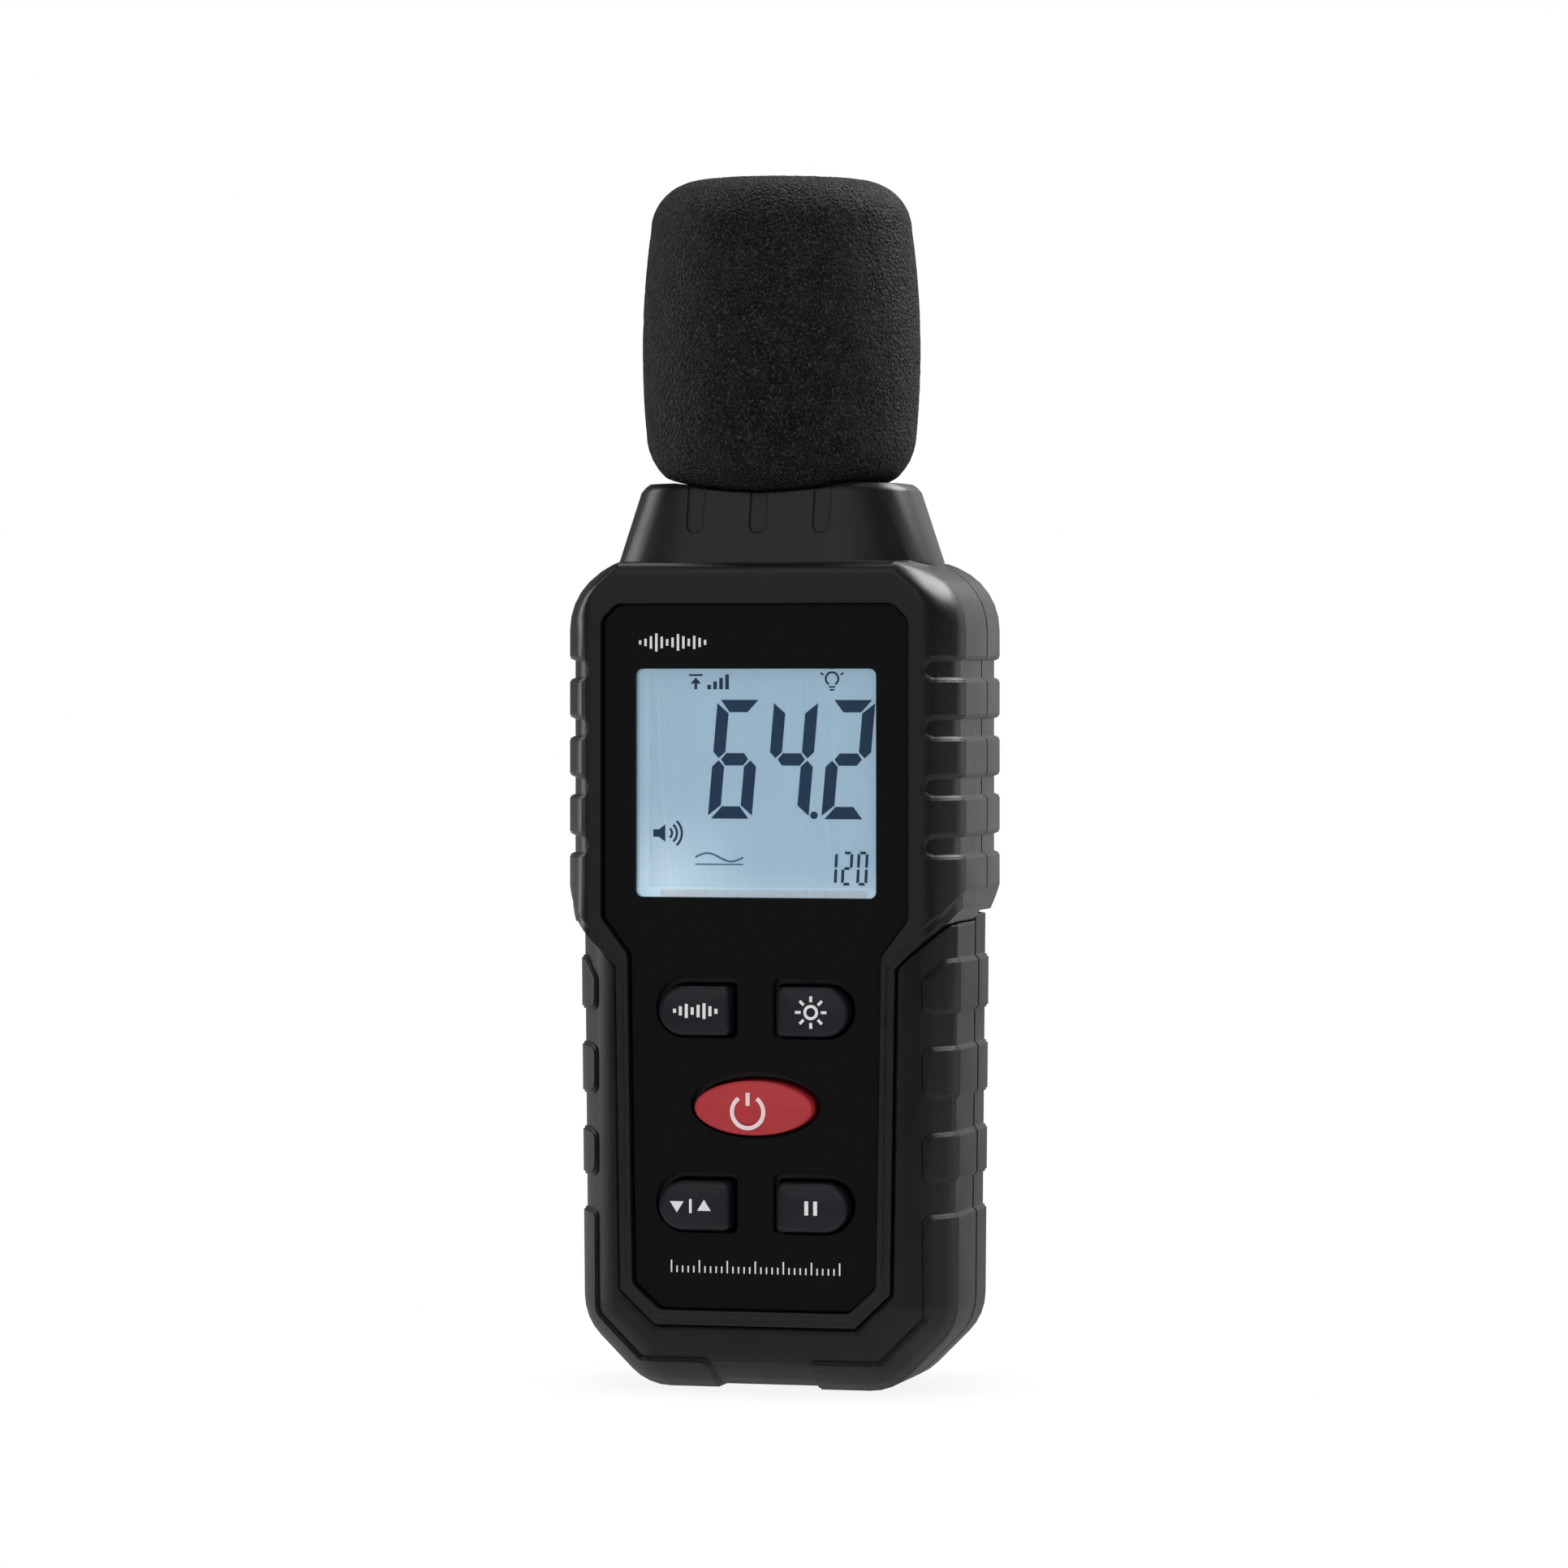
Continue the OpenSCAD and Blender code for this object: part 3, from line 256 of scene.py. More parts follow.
def ink(name, code, glow=0.0):
    """Printed or liquid-crystal mark: nearly flat colour with a slight mottle."""
    p = Paint(name)
    shade = p.mix(p.remap(p.noise(0.7, 3), 0.35, 0.7, 0, 0.35), tone(code), tone(code, 1.35, 0.004))
    return p.surface(
        Base_Color=shade,
        Roughness=0.45,
        Specular_IOR_Level=0.2,
        Emission_Color=shade,
        Emission_Strength=glow,
        Normal=p.bump(p.noise(0.15, 2), 0.004),
    )


def foam_cell(name, dark, light, cell, depth):
    """Open-cell foam: pores sunk between paler struts at two sizes, with painted shade deep in the pores,
    and pale flecks.
    """
    p = Paint(name)
    pores = p.remap(p.cells(cell, "DISTANCE_TO_EDGE"), 0.02, 0.34)
    small = p.cells(cell * 0.5)
    cloud = p.remap(p.noise(cell * 5, 3, 0.6), 0.35, 0.65)
    flecks = p.remap(p.noise(cell * 0.45, 1), 0.56, 0.66)
    colour = p.mix(cloud, tone(light), tone(dark))
    # Painted shade: near black towards the middle of each pore.
    colour = p.mix(p.math("MULTIPLY", pores, 0.8), colour, tone("030304"))
    colour = p.mix(flecks, colour, tone(light, 3.2))
    height = p.math("ADD", p.math("MULTIPLY", pores, -1.0), p.math("MULTIPLY", small, -0.4))
    return p.surface(
        Base_Color=colour, Roughness=0.7, Specular_IOR_Level=0.4, Normal=p.bump(height, depth)
    )


def metal(name, code, rough, brushed=(1, 1, 1), grain=0.25, spots=None):
    """Bare or plated metal with fine drawing lines and a few darker spots."""
    p = Paint(name)
    lines = p.noise(grain, 3, 0.6, p.stretched(*brushed))
    cloud = p.remap(p.noise(3, 4, 0.6), 0.45, 0.75, 0, 0.5)
    return p.surface(
        Base_Color=p.mix(cloud, tone(code), tone(spots or code)),
        Metallic=1.0,
        Roughness=p.remap(lines, 0.3, 0.7, rough - 0.06, rough + 0.08),
        Normal=p.bump(lines, 0.01),
    )


def circuit_board():
    """Green solder mask with raised tracks and pale joints."""
    p = Paint("circuit_board")
    upright = p.node("ShaderNodeMapping", {"Vector": p.place, "Rotation": (pi / 2, 0, 0)})
    values = {
        "Vector": upright.outputs[0],
        "Scale": 160.0,
        "Mortar Size": 0.03,
        "Color1": (0, 0, 0, 1),
        "Color2": (0.3, 0.3, 0.3, 1),
        "Mortar": (1, 1, 1, 1),
    }
    grid = p.node("ShaderNodeTexBrick", values).outputs["Color"]
    tracks = p.math("MULTIPLY", grid, p.remap(p.noise(7, 1), 0.5, 0.52))
    colour = p.mix(tracks, tone("123f2a"), tone("2a6b48"))
    colour = p.mix(p.remap(p.cells(3.4), 0.13, 0.10), colour, tone("b9a15c"))
    return p.surface(Base_Color=colour, Roughness=0.3, Normal=p.bump(tracks, 0.03))


def cell_sleeve():
    """Plain battery sleeve: dark barrel, a coppery top band and a thin pale line between them."""
    p = Paint("cell_sleeve")
    z = p.axis("Z")
    band = p.remap(z, 38.2 * MM, 38.3 * MM)
    line = p.math("MULTIPLY", p.remap(z, 37.4 * MM, 37.5 * MM), p.remap(z, 38.3 * MM, 38.2 * MM))
    colour = p.mix(line, p.mix(band, tone("26282c"), tone("a86a3a")), tone("d9d9d6"))
    wrap = p.noise(0.5, 3, 0.6, p.stretched(1, 1, 0.2))
    rough = p.remap(wrap, 0.3, 0.7, 0.24, 0.36)
    return p.surface(Base_Color=colour, Metallic=0.35, Roughness=rough, Normal=p.bump(wrap, 0.01))


def make_materials():
    # Edge colours, with the power key's last on its line: partly wear, partly a painted highlight along
    # the edges.
    case_wear_and_highlight, grip_wear_and_highlight, key_wear_and_highlight = "3a3d40", "35383b", "34323e"
    return {
        "case": moulded("case_plastic", "131416", "17181b", 0.31, 0.16, 0.008, 0.3, case_wear_and_highlight),
        "grip": moulded(
            "grip_rubber", "121315", "16171a", 0.4, 0.22, 0.01, 0.45, grip_wear_and_highlight, Specular_IOR_Level=0.38
        ),
        "panel": gloss_panel(),
        "lens": clear_lens(),
        "display": lit_display(),
        "segment": ink("lcd_segment", "1b3650", 0.25),
        "faint": ink("lcd_faint", "4b6880", 0.3),
        "print": ink("white_print", "e6e6ea"),
        "key": moulded("key_rubber", "14121b", "191722", 0.36, 0.12, 0.005, 0.3, key_wear_and_highlight),
        "power": moulded("power_rubber", "b32b33", "bd3138", 0.36, 0.12, 0.005, 0.3, "c94d54"),
        "power_print": ink("power_print", "efd5d8"),
        "foam": foam_cell("foam", "08080a", "1b1c20", 0.6, 0.26),
        "pad": foam_cell("cover_foam", "303236", "54565a", 0.5, 0.1),
        "nickel": metal("nickel", "b9bbbe", 0.24, (1, 1, 0.2)),
        "steel": metal("screw_steel", "8b8d90", 0.3, (1, 0.15, 1), 0.2, "55575a"),
        "brass": metal("brass", "b38e46", 0.3, (1, 0.2, 1), 0.2, "8d6c34"),
        "contact": metal("contact_plate", "c8b27c", 0.28, (1, 1, 0.15), 0.3),
        "gold": metal("gold_pads", "cfa04a", 0.25),
        "tube": metal("tube_metal", "8f9296", 0.3, (0.2, 0.2, 1), 0.25, "6f7276"),
        "can": metal("capsule_can", "b0b3b7", 0.26, (1, 1, 0.3)),
        "grille": moulded("grille_felt", "2b2d2f", "3a3c3e", 0.85, 0.2, 0.05, 0.1),
        "board": circuit_board(),
        "chip": moulded("chip_epoxy", "141516", "191a1b", 0.55, 0.15, 0.01, 0.1),
        "tray": moulded("lcd_tray", "1a1b1c", "202123", 0.5, 0.2, 0.01, 0.15),
        "guide": moulded("light_guide", "d3dfe6", "dce7ec", 0.35, 0.6, 0.01, 0.1),
        "led": moulded("led_resin", "efe9c8", "f6f2dc", 0.3, 0.4, 0.01, 0.1),
        "zebra": moulded("elastomer", "c9998f", "d3a79d", 0.6, 0.2, 0.02, 0.1),
        "mat": moulded("keypad_silicone", "26262a", "2e2e33", 0.6, 0.25, 0.01, 0.2),
        "carbon": moulded("carbon_pill", "0d0d0d", "131313", 0.8, 0.15, 0.02, 0.1),
        "boot": moulded("boot_rubber", "1a1b1d", "202224", 0.65, 0.2, 0.01, 0.15),
        "trimmer": moulded("trimmer_body", "24528a", "2b5f9c", 0.45, 0.2, 0.01, 0.1),
        "capacitor": moulded("capacitor_sleeve", "1b1f26", "232833", 0.35, 0.3, 0.01, 0.1),
        "nylon": moulded("connector_nylon", "ddd9cc", "e8e4d8", 0.5, 0.3, 0.01, 0.1),
        "red_wire": moulded("red_insulation", "9c1f27", "b02730", 0.45, 0.3, 0.01, 0.05),
        "black_wire": moulded("black_insulation", "131416", "1a1b1d", 0.45, 0.3, 0.01, 0.05),
        "cell": cell_sleeve(),
    }


CAD_FINISH = {
    "case": ("front_case", "rear_case", "battery_cover"),
    "grip": ("front_grip", "rear_grip"),
    "panel": ("front_panel",),
    "lens": ("lcd_window",),
    "display": ("lcd_glass",),
    "tray": ("lcd_frame",),
    "guide": ("lcd_light_guide",),
    "led": ("backlight_leds",),
    "zebra": ("elastomer_strip",),
    "board": ("main_board",),
    "chip": ("controller_chip", "amplifier_chip"),
    "can": ("crystal", "mic_capsule"),
    "capacitor": ("capacitors",),
    "trimmer": ("trim_pot",),
    "gold": ("key_contacts",),
    "mat": ("keypad_mat",),
    "carbon": ("pill_mode", "pill_light", "pill_power", "pill_range", "pill_hold"),
    "tube": ("mic_tube",),
    "boot": ("mic_boot",),
    "grille": ("mic_grille",),
    "nylon": ("mic_connector",),
    "cell": ("battery_1", "battery_2", "battery_3"),
    "nickel": ("battery_springs",),
    "contact": ("contact_positive", "contact_negative", "bridge_upper", "bridge_lower"),
    "red_wire": ("wire_positive", "mic_wires"),
    "black_wire": ("wire_negative",),
    "steel": ("upper_case_screws", "lower_case_screws", "board_screws"),
    "brass": ("tripod_nut",),
}
CREASE_ANGLE = radians(28)
WELD_DISTANCE = 0.002


def smoothing_group():
    """Welds a CAD mesh and shades it smooth, with a crease where two faces meet at a real edge."""
    group = bpy.data.node_groups.new("weld_and_smooth", "GeometryNodeTree")
    for way in ("INPUT", "OUTPUT"):
        group.interface.new_socket("Geometry", in_out=way, socket_type="NodeSocketGeometry")
    start, end, weld, faces, creases, angle, sharp = (
        group.nodes.new(kind)
        for kind in (
            "NodeGroupInput",
            "NodeGroupOutput",
            "GeometryNodeMergeByDistance",
            "GeometryNodeSetShadeSmooth",
            "GeometryNodeSetShadeSmooth",
            "GeometryNodeInputMeshEdgeAngle",
            "FunctionNodeCompare",
        )
    )
    weld.inputs["Distance"].default_value = WELD_DISTANCE * MM
    faces.domain = "FACE"
    creases.domain = "EDGE"
    creases.inputs["Shade Smooth"].default_value = False
    sharp.data_type = "FLOAT"
    sharp.operation = "GREATER_THAN"
    sharp.inputs["B"].default_value = CREASE_ANGLE
    link = group.links.new
    link(start.outputs[0], weld.inputs["Geometry"])
    link(weld.outputs[0], faces.inputs["Geometry"])
    link(faces.outputs[0], creases.inputs["Geometry"])
    link(angle.outputs["Unsigned Angle"], sharp.inputs["A"])
    link(sharp.outputs[0], creases.inputs["Selection"])
    link(creases.outputs[0], end.inputs[0])
    return group


def even_normals(piece):
    weight = piece.modifiers.new("weight", "WEIGHTED_NORMAL")
    weight.keep_sharp = True
    return weight


def dress_cad(paints):
    group = smoothing_group()
    for finish, names in CAD_FINISH.items():
        for name in names:
            piece = nodes[name]
            piece.data.materials.clear()
            piece.data.materials.append(paints[finish])
            for layer in ("custom_normal", "sharp_edge", "sharp_face"):
                if layer in piece.data.attributes:
                    piece.data.attributes.remove(piece.data.attributes[layer])
            smooth = piece.modifiers.new("smooth", "NODES")
            smooth.node_group = group
            even_normals(piece).weight = 80


# ---------------------------------------------------------------- mesh building


def new_piece(name, mesh, paint, body, smooth=True):
    """Puts a bmesh, in millimetres, into the scene as a piece that rides on a body."""
    bmesh.ops.scale(mesh, vec=(MM, MM, MM), verts=mesh.verts)
    bmesh.ops.recalc_face_normals(mesh, faces=mesh.faces)
    data = bpy.data.meshes.new(name)
    mesh.to_mesh(data)
    mesh.free()
    if smooth:
        data.polygons.foreach_set("use_smooth", [True] * len(data.polygons))
    data.materials.append(paint)
    piece = bpy.data.objects.new(name, data)
    bpy.context.scene.collection.objects.link(piece)
    if smooth:
        even_normals(piece)
    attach(piece, body)
    return piece


def loft(mesh, rings):
    """Joins rings of the same number of points, each a list of Vectors, and closes both ends."""
    made = [[mesh.verts.new(p) for p in ring] for ring in rings]
    for a, b in zip(made, made[1:]):
        for i in range(len(a)):
            j = (i + 1) % len(a)
            mesh.faces.new((a[i], a[j], b[j], b[i]))
    mesh.faces.new(list(reversed(made[0])))
    mesh.faces.new(made[-1])


def outline_arc(cx, cz, rx, rz, start, end, steps):
    """Points of an elliptic arc, in degrees anticlockwise, as (x, z)."""
    angles = [radians(start + (end - start) * i / steps) for i in range(steps + 1)]
    return [(cx + rx * cos(a), cz + rz * sin(a)) for a in angles]


def add_plate(mesh, levels, points):
    """A thin solid plate of an outline given as (x, z), between two levels along Y."""
    ahead, behind = [[mesh.verts.new((x, y, z)) for x, z in points] for y in levels]
    mesh.faces.new(ahead)
    mesh.faces.new(list(reversed(behind)))
    for i in range(len(points)):
        j = (i + 1) % len(points)
        mesh.faces.new((ahead[i], ahead[j], behind[j], behind[i]))


def add_bar(mesh, levels, x0, z0, x1, z1):
    """A rectangular plate from its lower left corner to its upper right one."""
    add_plate(mesh, levels, [(x0, z0), (x1, z0), (x1, z1), (x0, z1)])


def stroke_sides(path, width, closed):
    """The two sides of a line of given width along a path of (x, z) points, with flat ends."""
    left, right = [], []
    last = len(path) - 1
    for i, (x, z) in enumerate(path):
        before = path[i - 1] if closed else path[max(i - 1, 0)]
        after = path[(i + 1) % len(path)] if closed else path[min(i + 1, last)]
        dx, dz = after[0] - before[0], after[1] - before[1]
        size = hypot(dx, dz) or 1
        nx, nz = -dz / size * width / 2, dx / size * width / 2
        left.append((x + nx, z + nz))
        right.append((x - nx, z - nz))
    return left, right


def add_stroke(mesh, levels, path, width, closed=False):
    left, right = stroke_sides(path, width, closed)
    if not closed:
        add_plate(mesh, levels, left + right[::-1])
        return
    for i in range(len(path)):
        j = (i + 1) % len(path)
        add_plate(mesh, levels, [left[i], left[j], right[j], right[i]])


# ---------------------------------------------------------------- the two pieces of foam

FOAM_LOW, FOAM_HIGH = box_mm("windscreen")
FOAM_BASE = FOAM_LOW.z
FOAM_TOP_R = 6.2
FOAM_TOP_STEPS = 12
FOAM_CROWN = 0.12
FOAM_SHOULDER = 0.15
FOAM_SIDE_STEPS = 20
FOAM_FOOT_R = 7.4
FOAM_FOOT_STEPS = 10
FOAM_FOOT_END = 9.6
FOAM_WIDEST = 17.5
FOAM_CURVE = 14.6
FOAM_SKIN_GAP = 0.04
FOAM_BORE_R = 8.7
FOAM_BORE_TOP = 21.2
FOAM_SPACING = 0.42
FOAM_LUMPS = ((2.6, 0.10), (5.2, 0.05), (0.35, 0.06))
FOAM_PROUD = 0.03
DISH_R = 50.0
DISH_REACH = 6.0
PAD_STEPS = 96
PAD_SQUARENESS = 0.22


def foam_side(z, radius):
    return radius - ((z - FOAM_WIDEST) / FOAM_CURVE) ** 2


def foam_profile(top, radius):
    """(radius, height) down the side of the foam, from the middle of its top to its lower rim."""
    upper, lower = FOAM_TOP_R, FOAM_FOOT_R
    points = [(r, top - FOAM_CROWN * (r / 10) ** 2) for r in (0.4, 2, 4, 6, 8, 10)]
    side_top = foam_side(top - upper, radius)
    for i in range(FOAM_TOP_STEPS + 1):
        a = radians(90 * i / FOAM_TOP_STEPS)
        z = top - upper + (upper - FOAM_SHOULDER) * cos(a)
        points.append((side_top - upper + upper * sin(a), z))
    for i in range(1, FOAM_SIDE_STEPS):
        z = top - upper - (top - upper - lower) * i / FOAM_SIDE_STEPS
        points.append((foam_side(z, radius), z))
    side_low = foam_side(lower, radius)
    for i in range(FOAM_FOOT_STEPS + 1):
        a = radians(90 * i / FOAM_FOOT_STEPS)
        points.append((side_low - lower + lower * cos(a), lower - lower * sin(a)))
    points.append((FOAM_FOOT_END, 0))
    return points


def resampled(points, spacing):
    """The same line with points at even spacing."""
    out = [points[0]]
    left = spacing
    for a, b in zip(points, points[1:]):
        size = hypot(b[0] - a[0], b[1] - a[1])
        at = left
        while at <= size:
            out.append((a[0] + (b[0] - a[0]) * at / size, a[1] + (b[1] - a[1]) * at / size))
            at += spacing
        left = at - size
    out.append(points[-1])
    return out


def foam_roughness(p):
    """How far the broken skin stands out or in at a point, over lumps of three sizes."""
    return min(sum(noise.noise(p * scale) * height for scale, height in FOAM_LUMPS), FOAM_PROUD)


def foam_rings(cy, top, radius):
    """Rings of the broken skin, from the top's middle to the foot, and then those of the bore."""
    around = int(2 * pi * radius / FOAM_SPACING)
    ways = [Vector((cos(2 * pi * i / around), sin(2 * pi * i / around), 0)) for i in range(around)]
    rings = []
    for r, z in resampled(foam_profile(top, radius - FOAM_SKIN_GAP), FOAM_SPACING):
        ring = []
        for out in ways:
            p = Vector((0, cy, FOAM_BASE + z)) + out * r
            slope = out if z < top - 0.5 else Vector((0, 0, 1))
            ring.append(p + slope * foam_roughness(p) * min(1, r / 3))
        rings.append(ring)
    for r, z in ((FOAM_BORE_R, 0.0), (FOAM_BORE_R, FOAM_BORE_TOP), (1.0, FOAM_BORE_TOP)):
        rings.append([Vector((0, cy, FOAM_BASE + z)) + out * r for out in ways])
    return rings


def foam_cover(paint):
    """The windscreen: a fine broken skin, with the bore for the microphone tube inside."""
    cy = (FOAM_LOW.y + FOAM_HIGH.y) / 2
    mesh = bmesh.new()
    loft(mesh, foam_rings(cy, FOAM_HIGH.z - FOAM_BASE, (FOAM_HIGH.x - FOAM_LOW.x) / 2))
    for v in mesh.verts:
        outside = hypot(v.co.x, v.co.y - cy) > FOAM_BORE_R - 0.1
        if outside and v.co.z < FOAM_BASE + DISH_REACH:
            saddle = DISH_R - sqrt(max(DISH_R**2 - v.co.x**2, 0))
            v.co.z = max(v.co.z, FOAM_BASE + saddle)
    piece = new_piece("foam_windscreen", mesh, paint, "windscreen_body")
    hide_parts("windscreen")


def blunt(value):
    """A cosine or sine flattened, so that the ring it makes is nearly a rectangle."""
    return abs(value) ** PAD_SQUARENESS * (1 if value >= 0 else -1)


def cover_foam(paint):
    """The strip of foam inside the battery door: crowned, with pulled-in sides and soft corners."""
    low, high = box_mm("cover_pad")
    middle, half = (low + high) / 2, (high - low) / 2
    front = ((0.05, high.y), (0.6, high.y), (0.97, high.y), (1.0, high.y - 0.08))
    back = ((0.985, middle.y), (0.97, low.y + 0.05), (0.6, low.y), (0.05, low.y))
    rings = []
    for share, y in front + back:
        ring = []
        for i in range(PAD_STEPS):
            a = 2 * pi * i / PAD_STEPS
            x, z = half.x * share * blunt(cos(a)), half.z * share * blunt(sin(a))
            ring.append(Vector((middle.x + x, y, middle.z + z)))
        rings.append(ring)
    mesh = bmesh.new()
    loft(mesh, rings)
    piece = new_piece("cover_foam", mesh, paint, "battery_cover_body")
    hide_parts("cover_pad")


# ---------------------------------------------------------------- keys

KEY_W, KEY_H, KEY_X = 8.9, 6.0, 7.35
KEY_CORNER, KEY_EDGE, KEY_CROWN = 0.8, 0.85, 0.22
POWER_W, POWER_H = 14.7, 6.6
POWER_EDGE, POWER_CROWN = 0.9, 0.45
STEM_INSET = 0.8
FLANGE_REACH, FLANGE_T = 0.75, 1.2
EDGE_STEPS = 6
CROWN_STEPS = 6
CROWN_REACH = 0.92


def pill_outline(half_w, half_h, corner, round_side):
    """Outline of a small key: square corners on one side, a half circle on the other."""
    points = outline_arc(half_w - half_h, 0, half_h, half_h, -90, 90, 28)
    points += outline_arc(-half_w + corner, half_h - corner, corner, corner, 90, 180, 5)
    points += outline_arc(-half_w + corner, -half_h + corner, corner, corner, 180, 270, 5)
    if round_side < 0:
        points = [(-x, z) for x, z in reversed(points)]
    return points


def shrunk(points, d, half_w, half_h):
    """The outline moved in by about d, kept in proportion so that it never folds."""
    return [(x * (half_w - d) / half_w, z * (half_h - d) / half_h) for x, z in points]


def cap_levels(front, back, narrowest, crown, edge):
    """(shrink, y) from the key's back, over its stem, flange, wall and rounded edge, to its face."""
    wall, flange_back = front + edge, FLANGE_Y + FLANGE_T
    levels = [(STEM_INSET, back), (STEM_INSET, flange_back)]
    levels += [(-FLANGE_REACH, flange_back), (-FLANGE_REACH, FLANGE_Y), (0, FLANGE_Y), (0, wall)]
    for i in range(1, EDGE_STEPS + 1):
        a = radians(90 * i / EDGE_STEPS)
        levels.append((edge * (1 - cos(a)), wall - (edge - crown) * sin(a)))
    rim = levels[-1][0]
    for i in range(1, CROWN_STEPS + 1):
        share = i / CROWN_STEPS
        levels.append((rim + share * (narrowest * CROWN_REACH - rim), front + crown * (1 - share) ** 2))
    return levels


def key_cap(name, x, outline, half_w, half_h, crown, edge, paint):
    """A key with its flange and stem, and a crowned face with a rounded edge."""
    low, high = box_mm(name)
    z = (low.z + high.z) / 2
    rings = []
    for shrink, y in cap_levels(low.y, high.y, min(half_w, half_h), crown, edge):
        rings.append([Vector((x + dx, y, z + dz)) for dx, dz in shrunk(outline, shrink, half_w, half_h)])
    mesh = bmesh.new()
    loft(mesh, rings)
    piece = new_piece("cap_" + name, mesh, paint, name + "_body")
    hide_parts(name)


def key_faces(paints):
    w, h = KEY_W / 2, KEY_H / 2
    for name, side in (("key_mode", -1), ("key_light", 1), ("key_range", -1), ("key_hold", 1)):
        outline = pill_outline(w, h, KEY_CORNER, side)
        key_cap(name, side * KEY_X, outline, w, h, KEY_CROWN, KEY_EDGE, paints["key"])
    w, h = POWER_W / 2, POWER_H / 2
    oval = outline_arc(0, 0, w, h, 0, 355, 71)
    key_cap("key_power", 0, oval, w, h, POWER_CROWN, POWER_EDGE, paints["power"])


# ---------------------------------------------------------------- marks on the keys

MARK_DEPTH = 0.22
MARK_PROUD = 0.02


def mark(name, body, paint, levels, *drawings):
    """A printed mark between two levels along Y. Each drawing is a function and its values."""
    mesh = bmesh.new()
    for draw, *values in drawings:
        draw(mesh, levels, *values)
    new_piece(name, mesh, paint, body, smooth=False)


def draw_sun(mesh, levels, cx, cz):
    add_stroke(mesh, levels, outline_arc(cx, cz, 0.74, 0.74, 0, 345, 23), 0.36, closed=True)
    for i in range(8):
        c, s = cos(radians(45 * i)), sin(radians(45 * i))
        add_stroke(mesh, levels, [(cx + r * c, cz + r * s) for r in (1.25, 1.95)], 0.34)


def draw_wave(mesh, levels, cx, cz):
    """Bars of a sound wave."""
    heights = (0.5, 1.1, 1.7, 0.9, 1.5, 1.9, 1.2, 0.6)
    for i, h in enumerate(heights):
        x = cx + (i - (len(heights) - 1) / 2) * 0.74
        add_bar(mesh, levels, x - 0.19, cz - h / 2, x + 0.19, cz + h / 2)


def draw_range(mesh, levels, cx, cz):
    """An up and a down arrow, with a line between them."""
    for side in (-1, 1):
        x = cx + side * 1.7
        arrow = [(x - 0.85, cz - side * 0.55), (x + 0.85, cz - side * 0.55), (x, cz + side * 0.8)]
        add_plate(mesh, levels, arrow[::side])
    add_bar(mesh, levels, cx - 0.16, cz - 0.85, cx + 0.16, cz + 0.85)


def draw_hold(mesh, levels, cx, cz):
    """Two upright bars, the sign for a held reading."""
    for x in (cx - 0.55, cx + 0.55):
        add_bar(mesh, levels, x - 0.24, cz - 0.85, x + 0.24, cz + 0.85)


def draw_power(mesh, levels, cx, cz):
    add_stroke(mesh, levels, outline_arc(cx, cz, 1.96, 1.96, 125, 415, 44), 0.5)
    add_bar(mesh, levels, cx - 0.25, cz + 0.75, cx + 0.25, cz + 2.3)


def key_marks(paints):
    for key, name, draw, x, dz, paint in (
        ("key_mode", "mark_mode", draw_wave, -KEY_X + 0.3, 0, "print"),
        ("key_light", "mark_light", draw_sun, KEY_X, 0, "print"),
        ("key_range", "mark_range", draw_range, -KEY_X - 0.3, 0, "print"),
        ("key_hold", "mark_hold", draw_hold, KEY_X, 0, "print"),
        ("key_power", "mark_power", draw_power, -0.5, -0.4, "power_print"),
    ):
        low, high = box_mm(key)
        front = low.y - MARK_PROUD
        levels = (front, front + MARK_DEPTH)
        mark(name, key + "_body", paints[paint], levels, (draw, x, (low.z + high.z) / 2 + dz))


# ---------------------------------------------------------------- marks on the display

SEGMENTS = {0: "abcdef", 1: "bc", 2: "abged", 4: "fgbc", 6: "afgedc"}
BIG_DIGITS = {"w": 5.5, "h": 14.43, "t": 1.5, "gap": 0.2, "pitch": 7.1, "lean": 0.087}
SMALL_DIGITS = {"w": 1.35, "h": 4.1, "t": 0.34, "gap": 0.06, "pitch": 1.9, "lean": 0.05}


def digit_segments(w, h, t, gap):
    """The seven bars, a to g, of a digit w wide and h tall with bars t thick, as outlines from its
    lower left corner."""
    m, d, end = h / 2, gap * 0.7, gap + 0.2
    middle = t * 0.5 + gap + 0.1
    upper, lower = m + t / 2, m - t / 2
    return {
        "a": [(end, h), (w - end, h), (w - t - d, h - t), (t + d, h - t)],
        "d": [(end, 0), (t + d, t), (w - t - d, t), (w - end, 0)],
        "g": [
            (middle, m), (t + d, upper), (w - t - d, upper),
            (w - middle, m), (w - t - d, lower), (t + d, lower),
        ],
        "f": [(0, h - end), (t, h - t - d), (t, upper + d), (t * 0.5, m + d), (0, upper + d)],
        "b": [(w, h - end), (w, upper + d), (w - t * 0.5, m + d), (w - t, upper + d), (w - t, h - t - d)],
        "e": [(0, end), (0, lower - d), (t * 0.5, m - d), (t, lower - d), (t, t + d)],
        "c": [(w, end), (w - t, t + d), (w - t, lower - d), (w - t * 0.5, m - d), (w, lower - d)],
    }


def at_display(x, down):
    """A point x from the left and down from the top of the visible display."""
    return DISPLAY_LEFT + x, DISPLAY_TOP - down


def draw_digits(mesh, levels, number, left, top, style):
    """Digits that lean to the right, from the left edge and the top of the visible display."""
    x0, z0 = at_display(left, top + style["h"])
    segments = digit_segments(style["w"], style["h"], style["t"], style["gap"])
    for i, digit in enumerate(number):
        for name in SEGMENTS[digit]:
            at = x0 + i * style["pitch"]
            add_plate(mesh, levels, [(at + x + style["lean"] * z, z0 + z) for x, z in segments[name]])


def draw_point(mesh, levels, x, z):
    add_plate(mesh, levels, outline_arc(x, z, 0.46, 0.46, 0, 345, 23))


